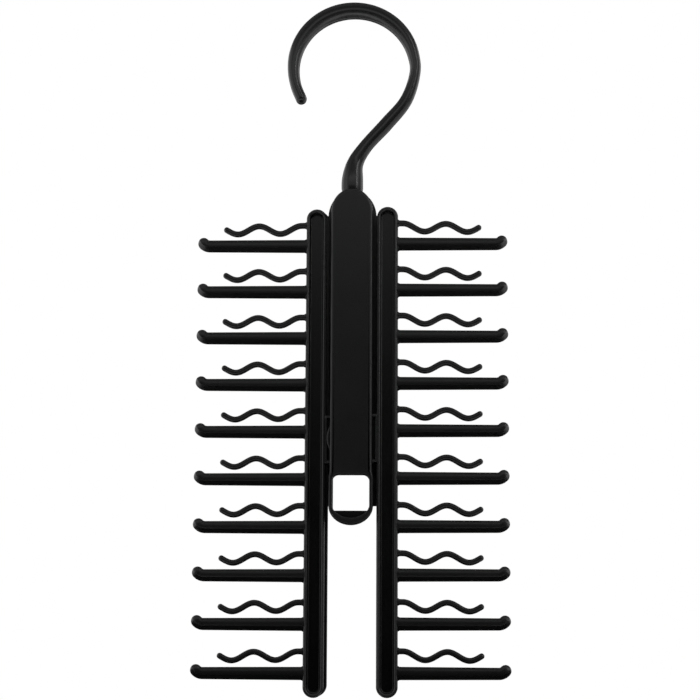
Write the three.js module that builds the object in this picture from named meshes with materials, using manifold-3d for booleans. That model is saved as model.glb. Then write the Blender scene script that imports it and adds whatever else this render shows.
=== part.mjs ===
// Folding hanger for neckties and belts. A swivelling hook carries a flat centre bar of two covers,
// and two comb arms, each a rail with ten bars and ten wavy grip fingers, cross on a pivot inside it.

import * as THREE from 'three';
import { mergeVertices } from 'three/addons/utils/BufferGeometryUtils.js';
import Module from 'manifold-3d';

const wasm = await Module();
wasm.setup();

// Driving dimensions in millimetres. The origin is the inner top of the hook, on the swivel axis.
// +Z is up, +X is to the right seen from the front, and the front faces -Y.

// Swivel hook
const HOOK_CENTRE_X = 0.8;
const HOOK_INNER_RADIUS = 27.1;
const HOOK_OUTER_RADIUS = 32.7;
const HOOK_OUTER_SHIFT = -0.34;
const HOOK_APEX_THICKNESS = 8.35;
const HOOK_LEAST_THICKNESS = 4.7;
const HOOK_DEPTH = 7.8;
const HOOK_TIP_ANGLE = 211;
const HOOK_ARC_STEP = 15;
const NECK_RADIUS = 5.2;
const NECK_BOTTOM = -90.45;
// From the right end of the arc down the slanted shank to the neck: x, z and half thickness.
const SHANK = [
  [26.2, -41.9, 3.05],
  [16.6, -54.1, 3.35],
  [6.15, -66.0, 3.3],
  [1.25, -74.3, 4.05],
  [0, -82.3, 5.15],
  [0, NECK_BOTTOM, NECK_RADIUS],
];
const STEM_RADIUS = 3.6;
const FLANGE_RADIUS = 5.2;
const FLANGE_THICKNESS = 1.2;

// Centre bar with an elliptic crown
const BAR_TOP = -88.6;
const BAR_HALF_WIDTH = 10.05;
const BAR_CROWN = 11.3;
const BAR_HALF_DEPTH = 7.5;
const SLOT_HALF_DEPTH = 5;
const CORE_INSET = 0.25;
const HUB_SEAT = -90.75;
const HUB_BOTTOM = -94.85;
const HUB_ROOF = 1.2;
const RUNNING_GAP = 0.3;
const LOWER_BLOCK_TOP = -222.4;
const LOWER_BLOCK_HALF_WIDTH = 10;
// Steps of the covers' outer edges: how far out from the slot, and how far in from the outline.
const FRONT_EDGE = [[0, 0], [1.2, 0], [1.7, 0.1], [2.0, 0.25], [2.25, 0.5], [2.5, 1.2]];
const BACK_EDGE = [[0, 0], [1.9, 0.1], [2.5, 0.5]];
// The back cover is a little wider than the front one, and wider still between two shoulders.
const BACK_TOP = -86.4;
const BACK_HALF_WIDTH = 11.75;
const BACK_CROWN = 13.6;
const SHOULDER_HALF_WIDTH = 13.4;
const SHOULDER_TOP = -99.4;
const SHOULDER_BOTTOM = -241.4;

// Window in the lower end, and the loop round it, whose rear ends a little higher than its front.
const LOOP = { x: 0, top: -221, half: 10.5, crown: 8, foot: 9.2 };
const LOOP_STEP_Y = -2.5;
const PLATE_BOTTOM = -240;
const FRONT_LEVELS = { bottom: -251.8, windowTop: -227.9 };
const REAR_LEVELS = { bottom: -249.3, windowTop: -225.5 };
const SILL_Z = -244.9;
const WINDOW_HALF_WIDTH = 8.7;
const WINDOW_CORNER = 3;
const WINDOW_END_RADIUS = 9.05;
const WINDOW_END_Z = -240.5;
const SILL_RECESS_DROP = 3.5;
const SILL_RECESS_DEPTH = 2.5;

// Pivot and its screw
const PIVOT_Z = -210.2;
const PIVOT_BOSS_RADIUS = 4.5;
const SCREW_HEAD_RADIUS = 3.4;
const SCREW_SHANK_RADIUS = 1.5;
const SCREW_TIP_Y = -3.5;
const SCREW_HEAD_HEIGHT = 1.5;
const SCREW_HEAD_SINK = 0.2;
const DRIVE_RECESS = { length: 0.62, width: 0.16, depth: 0.8 };
const WASHER_RADIUS = 8;
const WASHER_THICKNESS = 0.4;

// Arms
const ARM_NEAR = 0.3;
const ARM_FAR = 4.5;
const RAIL_OUTER_X = 22.2;
const RAIL_TOP = -97.0;
const RAIL_BOTTOM = -331.7;
const RAIL_RIM = 2;
const RAIL_RIM_DRAFT = 0.2;
const RAIL_FLOOR = 1.5;
const RAIL_EDGE = 0.45;
const EAR_RADIUS = 11.6;
const EAR_RIM = 1.5;
const EAR_FLOOR = 1.8;
const EAR_SINK = 0.3;
const EAR_HUB_RADIUS = 7.6;
const LIP_SET_BACK = 2.2;
const BAR_COUNT = 10;
const BAR_PITCH = 22.8;
const FIRST_BAR_Z = -115.2;

// Straight bars: half heights at root and tip, the run before the upturned end and its bend.
const BAR_ROOT_HALF = 3.05;
const BAR_TIP_HALF = 2.8;
const BAR_ROD_HALF_DEPTH = 2.05;
const BAR_RUN = 47.0;
const BAR_BEND_RADIUS = 4.1;
const BAR_BEND_ANGLE = 47;

// Wavy fingers: a flat root, then a cosine wave whose level sinks slowly to the tip.
const FINGER_LIFT = 10.2;
const FINGER_HALF = 1.4;
const FINGER_HALF_DEPTH = 1.8;
const FINGER_REACH = 38.9;
const FINGER_FLAT = 2.5;
const FINGER_HALF_WAVE = 10.3;
const FINGER_SWING = 3.95;
const FINGER_SINK = 0.011;

// Fineness of round stretches
const ROUND_STEPS = 24;
const END_STEPS = 10;
const ROD_SIDES = 8;
const HOOK_SIDES = 12;
const HOOK_RINGS = 40;
const CAP_RINGS = 2;
const CAP_SWEEP = 0.47 * Math.PI;
const BEND_STEPS = 3;
const FINGER_STEPS = 16;
const SLOPE_STEP = 0.1;

// Overlap of joined pieces, overrun of cuts, and the distance within which corners count as one
const OVERLAP = 0.5;
const OVERRUN = 1;
const MERGE_DISTANCE = 1e-4;

// Arm on each side: the right one lies in the front half of the slot, the left one in the rear half.
const ARMS = [
  { name: 'left', side: -1, front: ARM_NEAR, back: ARM_FAR, width: 9.95, lip: 1.35 },
  { name: 'right', side: 1, front: -ARM_FAR, back: -ARM_NEAR, width: 10.15, lip: 0 },
];

const blackSatin = { color: 0x1d1d1d, roughness: 0.5, metalness: 0 };
const blackGloss = { color: 0x161616, roughness: 0.25, metalness: 0 };
const washerGrey = { color: 0x3a3a38, roughness: 0.6, metalness: 0 };
const zincSteel = { color: 0xb4b6b8, roughness: 0.35, metalness: 1 };

const degrees = THREE.MathUtils.degToRad;

// Closed skin over rings of equal point counts, with a fan over each convex end.
function loft(rings) {
  const count = rings[0].length;
  const points = rings.flat();
  const faces = [];
  for (let ring = 0; ring + 1 < rings.length; ring += 1) {
    for (let k = 0; k < count; k += 1) {
      const a = ring * count + k;
      const b = ring * count + ((k + 1) % count);
      faces.push(a, b, b + count, a, b + count, a + count);
    }
  }
  const last = points.length - count;
  for (let k = 1; k + 1 < count; k += 1) {
    faces.push(0, k + 1, k, last, last + k, last + k + 1);
  }
  const corner = (i) => points[faces[i]];
  let volume = 0;
  for (let i = 0; i < faces.length; i += 3) {
    volume += corner(i).dot(corner(i + 1).clone().cross(corner(i + 2)));
  }
  if (volume < 0) {
    faces.reverse();
  }
  const geometry = new THREE.BufferGeometry().setFromPoints(points);
  geometry.setIndex(faces);
  return geometry;
}

// Solid for joining and cutting, from any closed geometry.
function solid(geometry) {
  const bare = geometry.clone();
  bare.deleteAttribute('normal');
  bare.deleteAttribute('uv');
  const merged = mergeVertices(bare, MERGE_DISTANCE);
  const mesh = new wasm.Mesh({
    numProp: 3,
    vertProperties: Float32Array.from(merged.attributes.position.array),
    triVerts: Uint32Array.from(merged.index.array),
  });
  return new wasm.Manifold(mesh);
}

// Geometry of a joined and cut solid.
function toGeometry(body) {
  const mesh = body.getMesh();
  const geometry = new THREE.BufferGeometry();
  geometry.setAttribute('position', new THREE.BufferAttribute(mesh.vertProperties, 3));
  geometry.setIndex(new THREE.BufferAttribute(mesh.triVerts, 1));
  return geometry;
}

// Slab of an outline drawn in x and z, between two depths.
function slab(shape, front, back) {
  const options = { depth: back - front, bevelEnabled: false, curveSegments: END_STEPS };
  return solid(new THREE.ExtrudeGeometry(shape, options).rotateX(Math.PI / 2).translate(0, back, 0));
}

// Round rod along the depth direction.
function rod(radius, x, z, front, back) {
  const geometry = new THREE.CylinderGeometry(radius, radius, back - front, ROUND_STEPS);
  return solid(geometry.translate(x, (front + back) / 2, z));
}

// Body of revolution about the swivel axis, from radius and height pairs.
function turned(profile) {
  const points = profile.map(([r, z]) => new THREE.Vector2(r, z));
  return solid(new THREE.LatheGeometry(points, ROUND_STEPS).rotateX(Math.PI / 2));
}

// Ring of a bar with two round ends, drawn in from its outline by an inset, at one depth. The ends
// are half circles or half ellipses.
function stadiumRing({ x, top, bottom, half, crown = half, foot = half }, inset, y) {
  const ring = [];
  for (const [centre, rise, start] of [[top - crown, crown, 0], [bottom + foot, foot, Math.PI]]) {
    for (let k = 0; k <= END_STEPS; k += 1) {
      const angle = start + (Math.PI * k) / END_STEPS;
      const z = centre + (rise - inset) * Math.sin(angle);
      ring.push(new THREE.Vector3(x + (half - inset) * Math.cos(angle), y, z));
    }
  }
  return ring;
}

// Plate or tray with round ends, from pairs of depth and inset.
function stadiumBody(outline, layers) {
  return solid(loft(layers.map(([y, inset]) => stadiumRing(outline, inset, y))));
}

// Rod along a path in one upright plane, with an elliptic section and a round far end.
function sweptRod(stations, sides, y) {
  const rings = [];
  const addRing = (x, z, heading, half, halfDepth) => {
    const ring = [];
    const overFlats = 1 / Math.cos(Math.PI / sides);
    for (let k = 0; k < sides; k += 1) {
      const angle = (2 * Math.PI * (k + 0.5)) / sides;
      const across = overFlats * half * Math.cos(angle);
      const outwards = overFlats * halfDepth * Math.sin(angle);
      const alongX = x - Math.sin(heading) * across;
      ring.push(new THREE.Vector3(alongX, y + outwards, z + Math.cos(heading) * across));
    }
    rings.push(ring);
  };
  for (const { x, z, heading, half, halfDepth } of stations) {
    addRing(x, z, heading, half, halfDepth);
  }
  const end = stations.at(-1);
  for (let k = 1; k <= CAP_RINGS; k += 1) {
    const angle = (CAP_SWEEP * k) / CAP_RINGS;
    const reach = end.half * Math.sin(angle);
    const shrink = Math.cos(angle);
    const x = end.x + reach * Math.cos(end.heading);
    const z = end.z + reach * Math.sin(end.heading);
    addRing(x, z, end.heading, end.half * shrink, end.halfDepth * shrink);
  }
  return loft(rings);
}

// Middle of the hook's wall and its half thickness, on a ray from the inner circle's centre. The outer
// edge is a circle with a higher centre, so the top is the thickest.
function hookStation(angleDegrees) {
  const angle = degrees(angleDegrees);
  const ray = new THREE.Vector2(Math.cos(angle), Math.sin(angle));
  const lift = HOOK_APEX_THICKNESS + HOOK_INNER_RADIUS - HOOK_OUTER_RADIUS;
  const outerCentre = new THREE.Vector2(HOOK_OUTER_SHIFT, lift);
  const along = ray.dot(outerCentre);
  const root = Math.sqrt(along * along - outerCentre.lengthSq() + HOOK_OUTER_RADIUS * HOOK_OUTER_RADIUS);
  const half = Math.max(along + root - HOOK_INNER_RADIUS, HOOK_LEAST_THICKNESS) / 2;
  const middle = HOOK_INNER_RADIUS + half;
  return new THREE.Vector3(HOOK_CENTRE_X + middle * ray.x, half, middle * ray.y - HOOK_INNER_RADIUS);
}

// Hook from the neck up the shank and round to the tip, with a stem and flange under the neck.
function swivelHook() {
  const line = SHANK.map(([x, z, half]) => new THREE.Vector3(x, half, z)).reverse();
  for (let angle = 0; angle < HOOK_TIP_ANGLE; angle += HOOK_ARC_STEP) {
    line.push(hookStation(angle));
  }
  line.push(hookStation(HOOK_TIP_ANGLE));
  const curve = new THREE.CatmullRomCurve3(line);
  const stations = [];
  for (let k = 0; k <= HOOK_RINGS; k += 1) {
    const point = curve.getPointAt(k / HOOK_RINGS);
    const tangent = curve.getTangentAt(k / HOOK_RINGS);
    const heading = k === 0 ? Math.PI / 2 : Math.atan2(tangent.z, tangent.x);
    const halfDepth = Math.max(HOOK_DEPTH / 2, point.y);
    stations.push({ x: point.x, z: point.z, heading, half: point.y, halfDepth });
  }
  const flangeTop = HUB_SEAT - HUB_ROOF - RUNNING_GAP;
  const stem = turned([
    [0, flangeTop - FLANGE_THICKNESS],
    [FLANGE_RADIUS, flangeTop - FLANGE_THICKNESS],
    [FLANGE_RADIUS, flangeTop],
    [STEM_RADIUS, flangeTop],
    [STEM_RADIUS, NECK_BOTTOM + STEM_RADIUS],
    [0, NECK_BOTTOM + STEM_RADIUS],
  ]);
  return toGeometry(solid(sweptRod(stations, HOOK_SIDES, 0)).add(stem));
}

// Outline of the hub block: the bar's crown, flat on top for the neck, flat below for the rails.
function hubShape() {
  const half = BAR_HALF_WIDTH - CORE_INSET;
  const rise = BAR_CROWN - CORE_INSET;
  const centre = BAR_TOP - BAR_CROWN;
  const low = Math.asin((HUB_BOTTOM - centre) / rise);
  const high = Math.asin((HUB_SEAT - centre) / rise);
  const shape = new THREE.Shape();
  shape.absellipse(0, centre, half, rise, low, high, false);
  shape.absellipse(0, centre, half, rise, Math.PI - high, Math.PI - low, false);
  return shape;
}

// Outline of the lower block: flat top, straight sides and a round lower end.
function lowerBlockShape({ bottom }) {
  const half = LOOP.half - CORE_INSET;
  const drop = LOOP.foot - CORE_INSET;
  const start = Math.acos(LOWER_BLOCK_HALF_WIDTH / half);
  const shape = new THREE.Shape();
  shape.moveTo(LOWER_BLOCK_HALF_WIDTH, LOWER_BLOCK_TOP);
  shape.lineTo(-LOWER_BLOCK_HALF_WIDTH, LOWER_BLOCK_TOP);
  shape.absellipse(0, bottom + LOOP.foot, half, drop, Math.PI + start, 2 * Math.PI - start, false);
  return shape;
}

// Outline of the window: round upper corners, lower corners on a wide circle, and a straight sill.
function windowShape({ windowTop }) {
  const low = Math.asin((SILL_Z - WINDOW_END_Z) / WINDOW_END_RADIUS);
  const high = -Math.acos(WINDOW_HALF_WIDTH / WINDOW_END_RADIUS);
  const cornerX = WINDOW_HALF_WIDTH - WINDOW_CORNER;
  const cornerZ = windowTop - WINDOW_CORNER;
  const shape = new THREE.Shape();
  shape.absarc(0, WINDOW_END_Z, WINDOW_END_RADIUS, low, high, false);
  shape.absarc(cornerX, cornerZ, WINDOW_CORNER, 0, Math.PI / 2, false);
  shape.absarc(-cornerX, cornerZ, WINDOW_CORNER, Math.PI / 2, Math.PI, false);
  shape.absarc(0, WINDOW_END_Z, WINDOW_END_RADIUS, Math.PI - high, Math.PI - low, false);
  return shape;
}

// Outline of the recess under the front sill: a circle segment as wide as the sill.
function sillRecessShape() {
  const drop = WINDOW_END_Z - SILL_Z;
  const halfSill = Math.sqrt(WINDOW_END_RADIUS * WINDOW_END_RADIUS - drop * drop);
  const radius = (halfSill * halfSill + SILL_RECESS_DROP * SILL_RECESS_DROP) / (2 * SILL_RECESS_DROP);
  const sweep = Math.asin(halfSill / radius);
  const centre = SILL_Z - SILL_RECESS_DROP + radius;
  const shape = new THREE.Shape();
  shape.absarc(0, centre, radius, 1.5 * Math.PI - sweep, 1.5 * Math.PI + sweep, false);
  return shape;
}

// Plate of one cover with its loop and its half of the hub, behind (1) or before (-1) the middle plane.
function coverPlate(facing, edge, outline, { bottom }) {
  const inside = facing * (SLOT_HALF_DEPTH + OVERLAP);
  const hub = slab(hubShape(), Math.min(inside, 0), Math.max(inside, 0));
  const layers = coverLayers(facing, edge);
  return stadiumBody(outline, layers).add(stadiumBody({ ...LOOP, bottom }, layers)).add(hub);
}

// Depth and inset of each step of a cover's edge.
function coverLayers(facing, edge) {
  return edge.map(([out, inset]) => [facing * (SLOT_HALF_DEPTH + out), inset]);
}

// Wide stretch of the back cover between its shoulders.
function backShoulders() {
  const rings = coverLayers(1, BACK_EDGE).map(([y, inset]) => {
    const half = SHOULDER_HALF_WIDTH - inset;
    const top = SHOULDER_TOP - inset;
    const bottom = SHOULDER_BOTTOM + inset;
    const corners = [[half, bottom], [half, top], [-half, top], [-half, bottom]];
    return corners.map(([x, z]) => new THREE.Vector3(x, y, z));
  });
  return solid(loft(rings));
}

// Room for the hook's stem and flange in the hub, and for the foot of its neck on top.
function swivelRoom() {
  const pocketTop = HUB_SEAT - HUB_ROOF;
  const pocketBottom = pocketTop - FLANGE_THICKNESS - 2 * RUNNING_GAP;
  return turned([
    [0, pocketBottom],
    [FLANGE_RADIUS + RUNNING_GAP, pocketBottom],
    [FLANGE_RADIUS + RUNNING_GAP, pocketTop],
    [STEM_RADIUS + RUNNING_GAP, pocketTop],
    [STEM_RADIUS + RUNNING_GAP, HUB_SEAT],
    [NECK_RADIUS + 2 * RUNNING_GAP, HUB_SEAT],
    [NECK_RADIUS + 2 * RUNNING_GAP, BACK_TOP + OVERRUN],
    [0, BACK_TOP + OVERRUN],
  ]);
}

// Hole for the screw's shank, running on past the screw's tip.
function shankHole() {
  return rod(SCREW_SHANK_RADIUS + RUNNING_GAP, 0, PIVOT_Z, SCREW_TIP_Y - OVERLAP, BAR_HALF_DEPTH);
}

// Front cover: rounded face, pivot boss, window loop, and a recess under the window.
function frontCover() {
  const face = -BAR_HALF_DEPTH;
  const inside = -SLOT_HALF_DEPTH - OVERLAP;
  const boss = rod(PIVOT_BOSS_RADIUS, 0, PIVOT_Z, inside, SLOT_HALF_DEPTH - RUNNING_GAP);
  const outline = { x: 0, top: BAR_TOP, bottom: PLATE_BOTTOM, half: BAR_HALF_WIDTH, crown: BAR_CROWN };
  const body = coverPlate(-1, FRONT_EDGE, outline, FRONT_LEVELS)
    .add(slab(lowerBlockShape(FRONT_LEVELS), inside, LOOP_STEP_Y))
    .add(slab(lowerBlockShape(REAR_LEVELS), inside, 0))
    .add(boss)
    .subtract(slab(windowShape(FRONT_LEVELS), face - OVERRUN, LOOP_STEP_Y))
    .subtract(slab(windowShape(REAR_LEVELS), LOOP_STEP_Y, OVERRUN))
    .subtract(slab(sillRecessShape(), face - OVERRUN, face + SILL_RECESS_DEPTH))
    .subtract(swivelRoom())
    .subtract(shankHole());
  return toGeometry(body);
}

// Back cover: flat outer face with a counterbore for the screw head.
function backCover() {
  const face = BAR_HALF_DEPTH;
  const seat = face - SCREW_HEAD_SINK - SCREW_HEAD_HEIGHT - RUNNING_GAP;
  const outline = { x: 0, top: BACK_TOP, bottom: PLATE_BOTTOM, half: BACK_HALF_WIDTH, crown: BACK_CROWN };
  const body = coverPlate(1, BACK_EDGE, outline, REAR_LEVELS)
    .add(backShoulders())
    .add(slab(lowerBlockShape(REAR_LEVELS), 0, SLOT_HALF_DEPTH + OVERLAP))
    .subtract(slab(windowShape(REAR_LEVELS), -OVERRUN, face + OVERRUN))
    .subtract(swivelRoom())
    .subtract(shankHole())
    .subtract(rod(SCREW_HEAD_RADIUS + RUNNING_GAP, 0, PIVOT_Z, seat, face + OVERRUN));
  return toGeometry(body);
}

// Flat-headed screw with a cross recess, its head sunk in the back cover.
function pivotScrew() {
  const top = BAR_HALF_DEPTH - SCREW_HEAD_SINK;
  const seat = top - SCREW_HEAD_HEIGHT;
  const shank = rod(SCREW_SHANK_RADIUS, 0, PIVOT_Z, SCREW_TIP_Y, seat + OVERLAP);
  let body = rod(SCREW_HEAD_RADIUS, 0, PIVOT_Z, seat, top).add(shank);
  const length = 2 * SCREW_HEAD_RADIUS * DRIVE_RECESS.length;
  const width = 2 * SCREW_HEAD_RADIUS * DRIVE_RECESS.width;
  for (const [x, height] of [[length, width], [width, length]]) {
    const slot = new THREE.BoxGeometry(x, 2 * DRIVE_RECESS.depth, height).translate(0, top, PIVOT_Z);
    body = body.subtract(solid(slot));
  }
  return toGeometry(body);
}

// Thin friction washer round the pivot boss, between the two arms' ears.
function washer() {
  const half = WASHER_THICKNESS / 2;
  const hole = rod(PIVOT_BOSS_RADIUS + RUNNING_GAP, 0, PIVOT_Z, -OVERRUN, OVERRUN);
  return toGeometry(rod(WASHER_RADIUS, 0, PIVOT_Z, -half, half).subtract(hole));
}

// Outline of a pivot ear: half a disc round the pivot and a straight tongue to the rail.
function earShape(side, reach, inset) {
  const radius = EAR_RADIUS - inset;
  const shape = new THREE.Shape();
  if (side > 0) {
    shape.absarc(0, PIVOT_Z, radius, Math.PI / 2, 1.5 * Math.PI, false);
    shape.lineTo(reach, PIVOT_Z - radius);
    shape.lineTo(reach, PIVOT_Z + radius);
  } else {
    shape.absarc(0, PIVOT_Z, radius, -Math.PI / 2, Math.PI / 2, false);
    shape.lineTo(-reach, PIVOT_Z + radius);
    shape.lineTo(-reach, PIVOT_Z - radius);
  }
  return shape;
}

// Rail: a channel with round ends, open to the front, with a rimmed ear that turns on the pivot boss.
function rail({ side, front, back, width, lip }) {
  const inner = RAIL_OUTER_X - width;
  const half = width / 2;
  const outline = { x: side * (RAIL_OUTER_X - half), top: RAIL_TOP, bottom: RAIL_BOTTOM, half };
  const tray = stadiumBody(outline, [
    [back, RAIL_EDGE],
    [back - RAIL_EDGE, 0],
    [front + RAIL_EDGE, 0],
    [front, RAIL_EDGE],
  ]);
  const channel = stadiumBody(outline, [
    [back - RAIL_FLOOR, RAIL_RIM + RAIL_RIM_DRAFT],
    [front, RAIL_RIM],
    [front - OVERRUN, RAIL_RIM],
  ]);
  const earFront = front + EAR_SINK;
  const earPocket = slab(earShape(side, inner - EAR_RIM / 2, EAR_RIM), front - OVERRUN, back - EAR_FLOOR);
  const ear = slab(earShape(side, inner + RAIL_RIM / 2, 0), earFront, back)
    .subtract(earPocket)
    .add(rod(EAR_HUB_RADIUS, 0, PIVOT_Z, earFront, back))
    .subtract(rod(PIVOT_BOSS_RADIUS + RUNNING_GAP, 0, PIVOT_Z, front - OVERRUN, back + OVERRUN));
  let body = tray.subtract(channel).add(ear);
  if (lip > 0) {
    const lipOutline = {
      x: side * (inner + width / 4 - lip / 2),
      top: RAIL_TOP - lip,
      bottom: RAIL_BOTTOM + lip,
      half: width / 4 + lip / 2,
    };
    const ledge = stadiumBody(lipOutline, [
      [back, RAIL_EDGE],
      [back - RAIL_EDGE, 0],
      [front + LIP_SET_BACK + RAIL_EDGE, 0],
      [front + LIP_SET_BACK, RAIL_EDGE],
    ]);
    body = body.add(ledge.subtract(channel));
  }
  return toGeometry(body);
}

// Straight bar from the rail's outer wall: it tapers slightly and its round end turns up.
function bar({ side, front, back }, z) {
  const station = (along, rise, turn, half) => ({
    x: side * (RAIL_OUTER_X + along),
    z: z + rise,
    heading: side > 0 ? turn : Math.PI - turn,
    half,
    halfDepth: BAR_ROD_HALF_DEPTH,
  });
  const stations = [station(0, 0, 0, BAR_ROOT_HALF)];
  for (let k = 0; k <= BEND_STEPS; k += 1) {
    const turn = (degrees(BAR_BEND_ANGLE) * k) / BEND_STEPS;
    const along = BAR_RUN + BAR_BEND_RADIUS * Math.sin(turn);
    const rise = BAR_BEND_RADIUS * (1 - Math.cos(turn));
    stations.push(station(along, rise, turn, BAR_TIP_HALF));
  }
  return sweptRod(stations, ROD_SIDES, (front + back) / 2);
}

// Height of a finger's middle line at a distance from the rail.
function fingerRise(along) {
  const phase = (Math.PI * Math.max(0, along - FINGER_FLAT)) / FINGER_HALF_WAVE;
  return -0.5 * FINGER_SWING * (1 - Math.cos(phase)) - FINGER_SINK * along;
}

// Wavy grip finger above a bar.
function finger({ side, front, back }, z) {
  const stations = [];
  for (let k = 0; k <= FINGER_STEPS; k += 1) {
    const along = (FINGER_REACH * k) / FINGER_STEPS;
    const climb = fingerRise(along + SLOPE_STEP) - fingerRise(along - SLOPE_STEP);
    const turn = k === 0 ? 0 : Math.atan(climb / (2 * SLOPE_STEP));
    stations.push({
      x: side * (RAIL_OUTER_X + along),
      z: z + fingerRise(along),
      heading: side > 0 ? turn : Math.PI - turn,
      half: FINGER_HALF,
      halfDepth: FINGER_HALF_DEPTH,
    });
  }
  return sweptRod(stations, ROD_SIDES, (front + back) / 2);
}

const hanger = new THREE.Group();

function addPart(name, geometry, finish) {
  const flat = geometry.toNonIndexed();
  flat.computeVertexNormals();
  const mesh = new THREE.Mesh(flat, new THREE.MeshStandardMaterial(finish));
  mesh.name = name;
  hanger.add(mesh);
}

addPart('swivel_hook', swivelHook(), blackGloss);
addPart('front_cover', frontCover(), blackSatin);
addPart('back_cover', backCover(), blackSatin);
addPart('pivot_screw', pivotScrew(), zincSteel);
addPart('pivot_washer', washer(), washerGrey);
for (const arm of ARMS) {
  addPart(`${arm.name}_rail`, rail(arm), blackSatin);
  for (let row = 0; row < BAR_COUNT; row += 1) {
    const z = FIRST_BAR_Z - row * BAR_PITCH;
    const number = String(row + 1).padStart(2, '0');
    addPart(`${arm.name}_bar_${number}`, bar(arm, z), blackSatin);
    addPart(`${arm.name}_finger_${number}`, finger(arm, z + FINGER_LIFT), blackSatin);
  }
}

export default hanger;
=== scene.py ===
"""Looks of a folding hanger for neckties and belts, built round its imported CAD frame.

Sizes of the object are in millimetres, in the frame's own axes: +Z up, the front facing -Y, and the
origin at the inner top of the hook. Meshes and the studio are in metres.
"""
import logging
import math
from dataclasses import dataclass
from enum import Enum
from functools import partial

import bmesh
import bpy
import numpy as np
from mathutils import Matrix, Quaternion, Vector


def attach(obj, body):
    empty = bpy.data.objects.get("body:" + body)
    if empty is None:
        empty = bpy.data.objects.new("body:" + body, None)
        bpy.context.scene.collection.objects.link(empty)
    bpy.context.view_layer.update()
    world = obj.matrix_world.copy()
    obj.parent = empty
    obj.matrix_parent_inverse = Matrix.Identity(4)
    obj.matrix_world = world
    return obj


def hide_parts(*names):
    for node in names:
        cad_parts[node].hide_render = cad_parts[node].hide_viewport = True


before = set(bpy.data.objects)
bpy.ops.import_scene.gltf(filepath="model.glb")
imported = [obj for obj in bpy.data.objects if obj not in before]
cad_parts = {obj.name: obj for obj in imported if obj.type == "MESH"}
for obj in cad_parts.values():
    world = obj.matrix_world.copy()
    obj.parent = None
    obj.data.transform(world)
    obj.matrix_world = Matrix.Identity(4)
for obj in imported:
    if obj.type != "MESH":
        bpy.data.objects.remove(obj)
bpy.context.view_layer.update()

LOG = logging.getLogger("hanger")
METRES = 0.001
WELD = 2e-7
SHARP_ANGLE = math.radians(38)
# Name of the per-point mark: above 0 it lightens rubbed edges, partly as a painted highlight; below 0 it
# darkens recesses as painted shade.
WEAR_AND_SHADE_MARK = "edge"
TURN = 2 * math.pi
TINY = 1e-9

Array = np.ndarray
Pair = tuple[float, float]
Triple = tuple[float, float, float]
Row = tuple[Array, float, float]
Material = bpy.types.Material
Socket = bpy.types.NodeSocket
Sockets = bpy.types.bpy_prop_collection


class Body(Enum):
    """Rigid bodies of the frame that pieces ride on."""

    HOOK = "hook"
    BAR = "center_bar"
    LEFT = "left_arm"
    RIGHT = "right_arm"


class Slot(Enum):
    """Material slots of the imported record."""

    GLOSS = "gloss_black"
    SATIN = "satin_black"
    ARM = "arm_black"
    STEEL = "zinc_steel"
    NYLON = "grey_nylon"


Palette = dict[Slot, Material]


@dataclass
class Shell:
    """A closed skin: points in millimetres, four-sided faces, and marks from 1 on rubbed edges, lightened
    partly as a painted highlight, to -1 in recesses, darkened as painted shade.
    """

    points: Array
    faces: Array
    edge: Array


def lattice(rings: Array, edge: Array, closed: bool) -> Shell:
    """Skin over rings of points: each face joins neighbours on one ring with those on the next.

    Args:
        rings: Points by ring, place round the ring and axis.
        edge: Mark of each ring, or of each point by ring and place.
        closed: Whether the last ring joins the first one again.

    Returns:
        The skin, with its faces pointing outwards.
    """
    count, around = rings.shape[:2]
    ring = np.arange(count if closed else count - 1)[:, None]
    place = np.arange(around)[None, :]
    here = ring * around
    ahead = (ring + 1) % count * around
    beside = (place + 1) % around
    corners = np.broadcast_arrays(here + place, here + beside, ahead + beside, ahead + place)
    faces = np.stack(corners, axis=-1).reshape(-1, 4)
    points = rings.reshape(-1, 3)
    a, b, c, d = (points[faces[:, k]] for k in range(4))
    volume = np.einsum("ij,ij->", a, np.cross(b, c)) + np.einsum("ij,ij->", a, np.cross(c, d))
    if volume < 0:
        faces = faces[:, ::-1]
    return Shell(points, faces, np.broadcast_to(edge.reshape(count, -1), (count, around)).ravel())


def banded(rows: list[Row], closed: bool) -> Shell:
    """Skin over upright outlines, each set at its own depth.

    Args:
        rows: Outline of x and z, depth and mark of each ring.
        closed: Whether the last ring joins the first one again.

    Returns:
        The skin.
    """
    outlines, depths, marks = zip(*rows)
    flat = np.stack(outlines)
    y = np.broadcast_to(np.array(depths, float)[:, None], flat.shape[:2])
    return lattice(np.stack([flat[..., 0], y, flat[..., 1]], axis=-1), np.array(marks, float), closed)


def capped(rings: Array, edge: Array) -> Shell:
    """Skin over rings whose two ends are closed by a ring shrunk to the end's middle.

    Args:
        rings: Points by ring, place round the ring and axis.
        edge: Mark of each ring, or of each point by ring and place.

    Returns:
        The closed skin.
    """
    first = np.broadcast_to(rings[0].mean(axis=0), rings[0].shape)[None]
    last = np.broadcast_to(rings[-1].mean(axis=0), rings[-1].shape)[None]
    marks = np.concatenate([edge[:1], edge, edge[-1:]])
    return lattice(np.concatenate([first, rings, last]), marks, closed=False)


def link_object(name: str, data: bpy.types.ID) -> bpy.types.Object:
    """Puts a new object into the scene.

    Args:
        name: Name of the object.
        data: Its mesh, lamp or camera.

    Returns:
        The object.
    """
    made = bpy.data.objects.new(name, data)
    bpy.context.scene.collection.objects.link(made)
    return made


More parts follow.
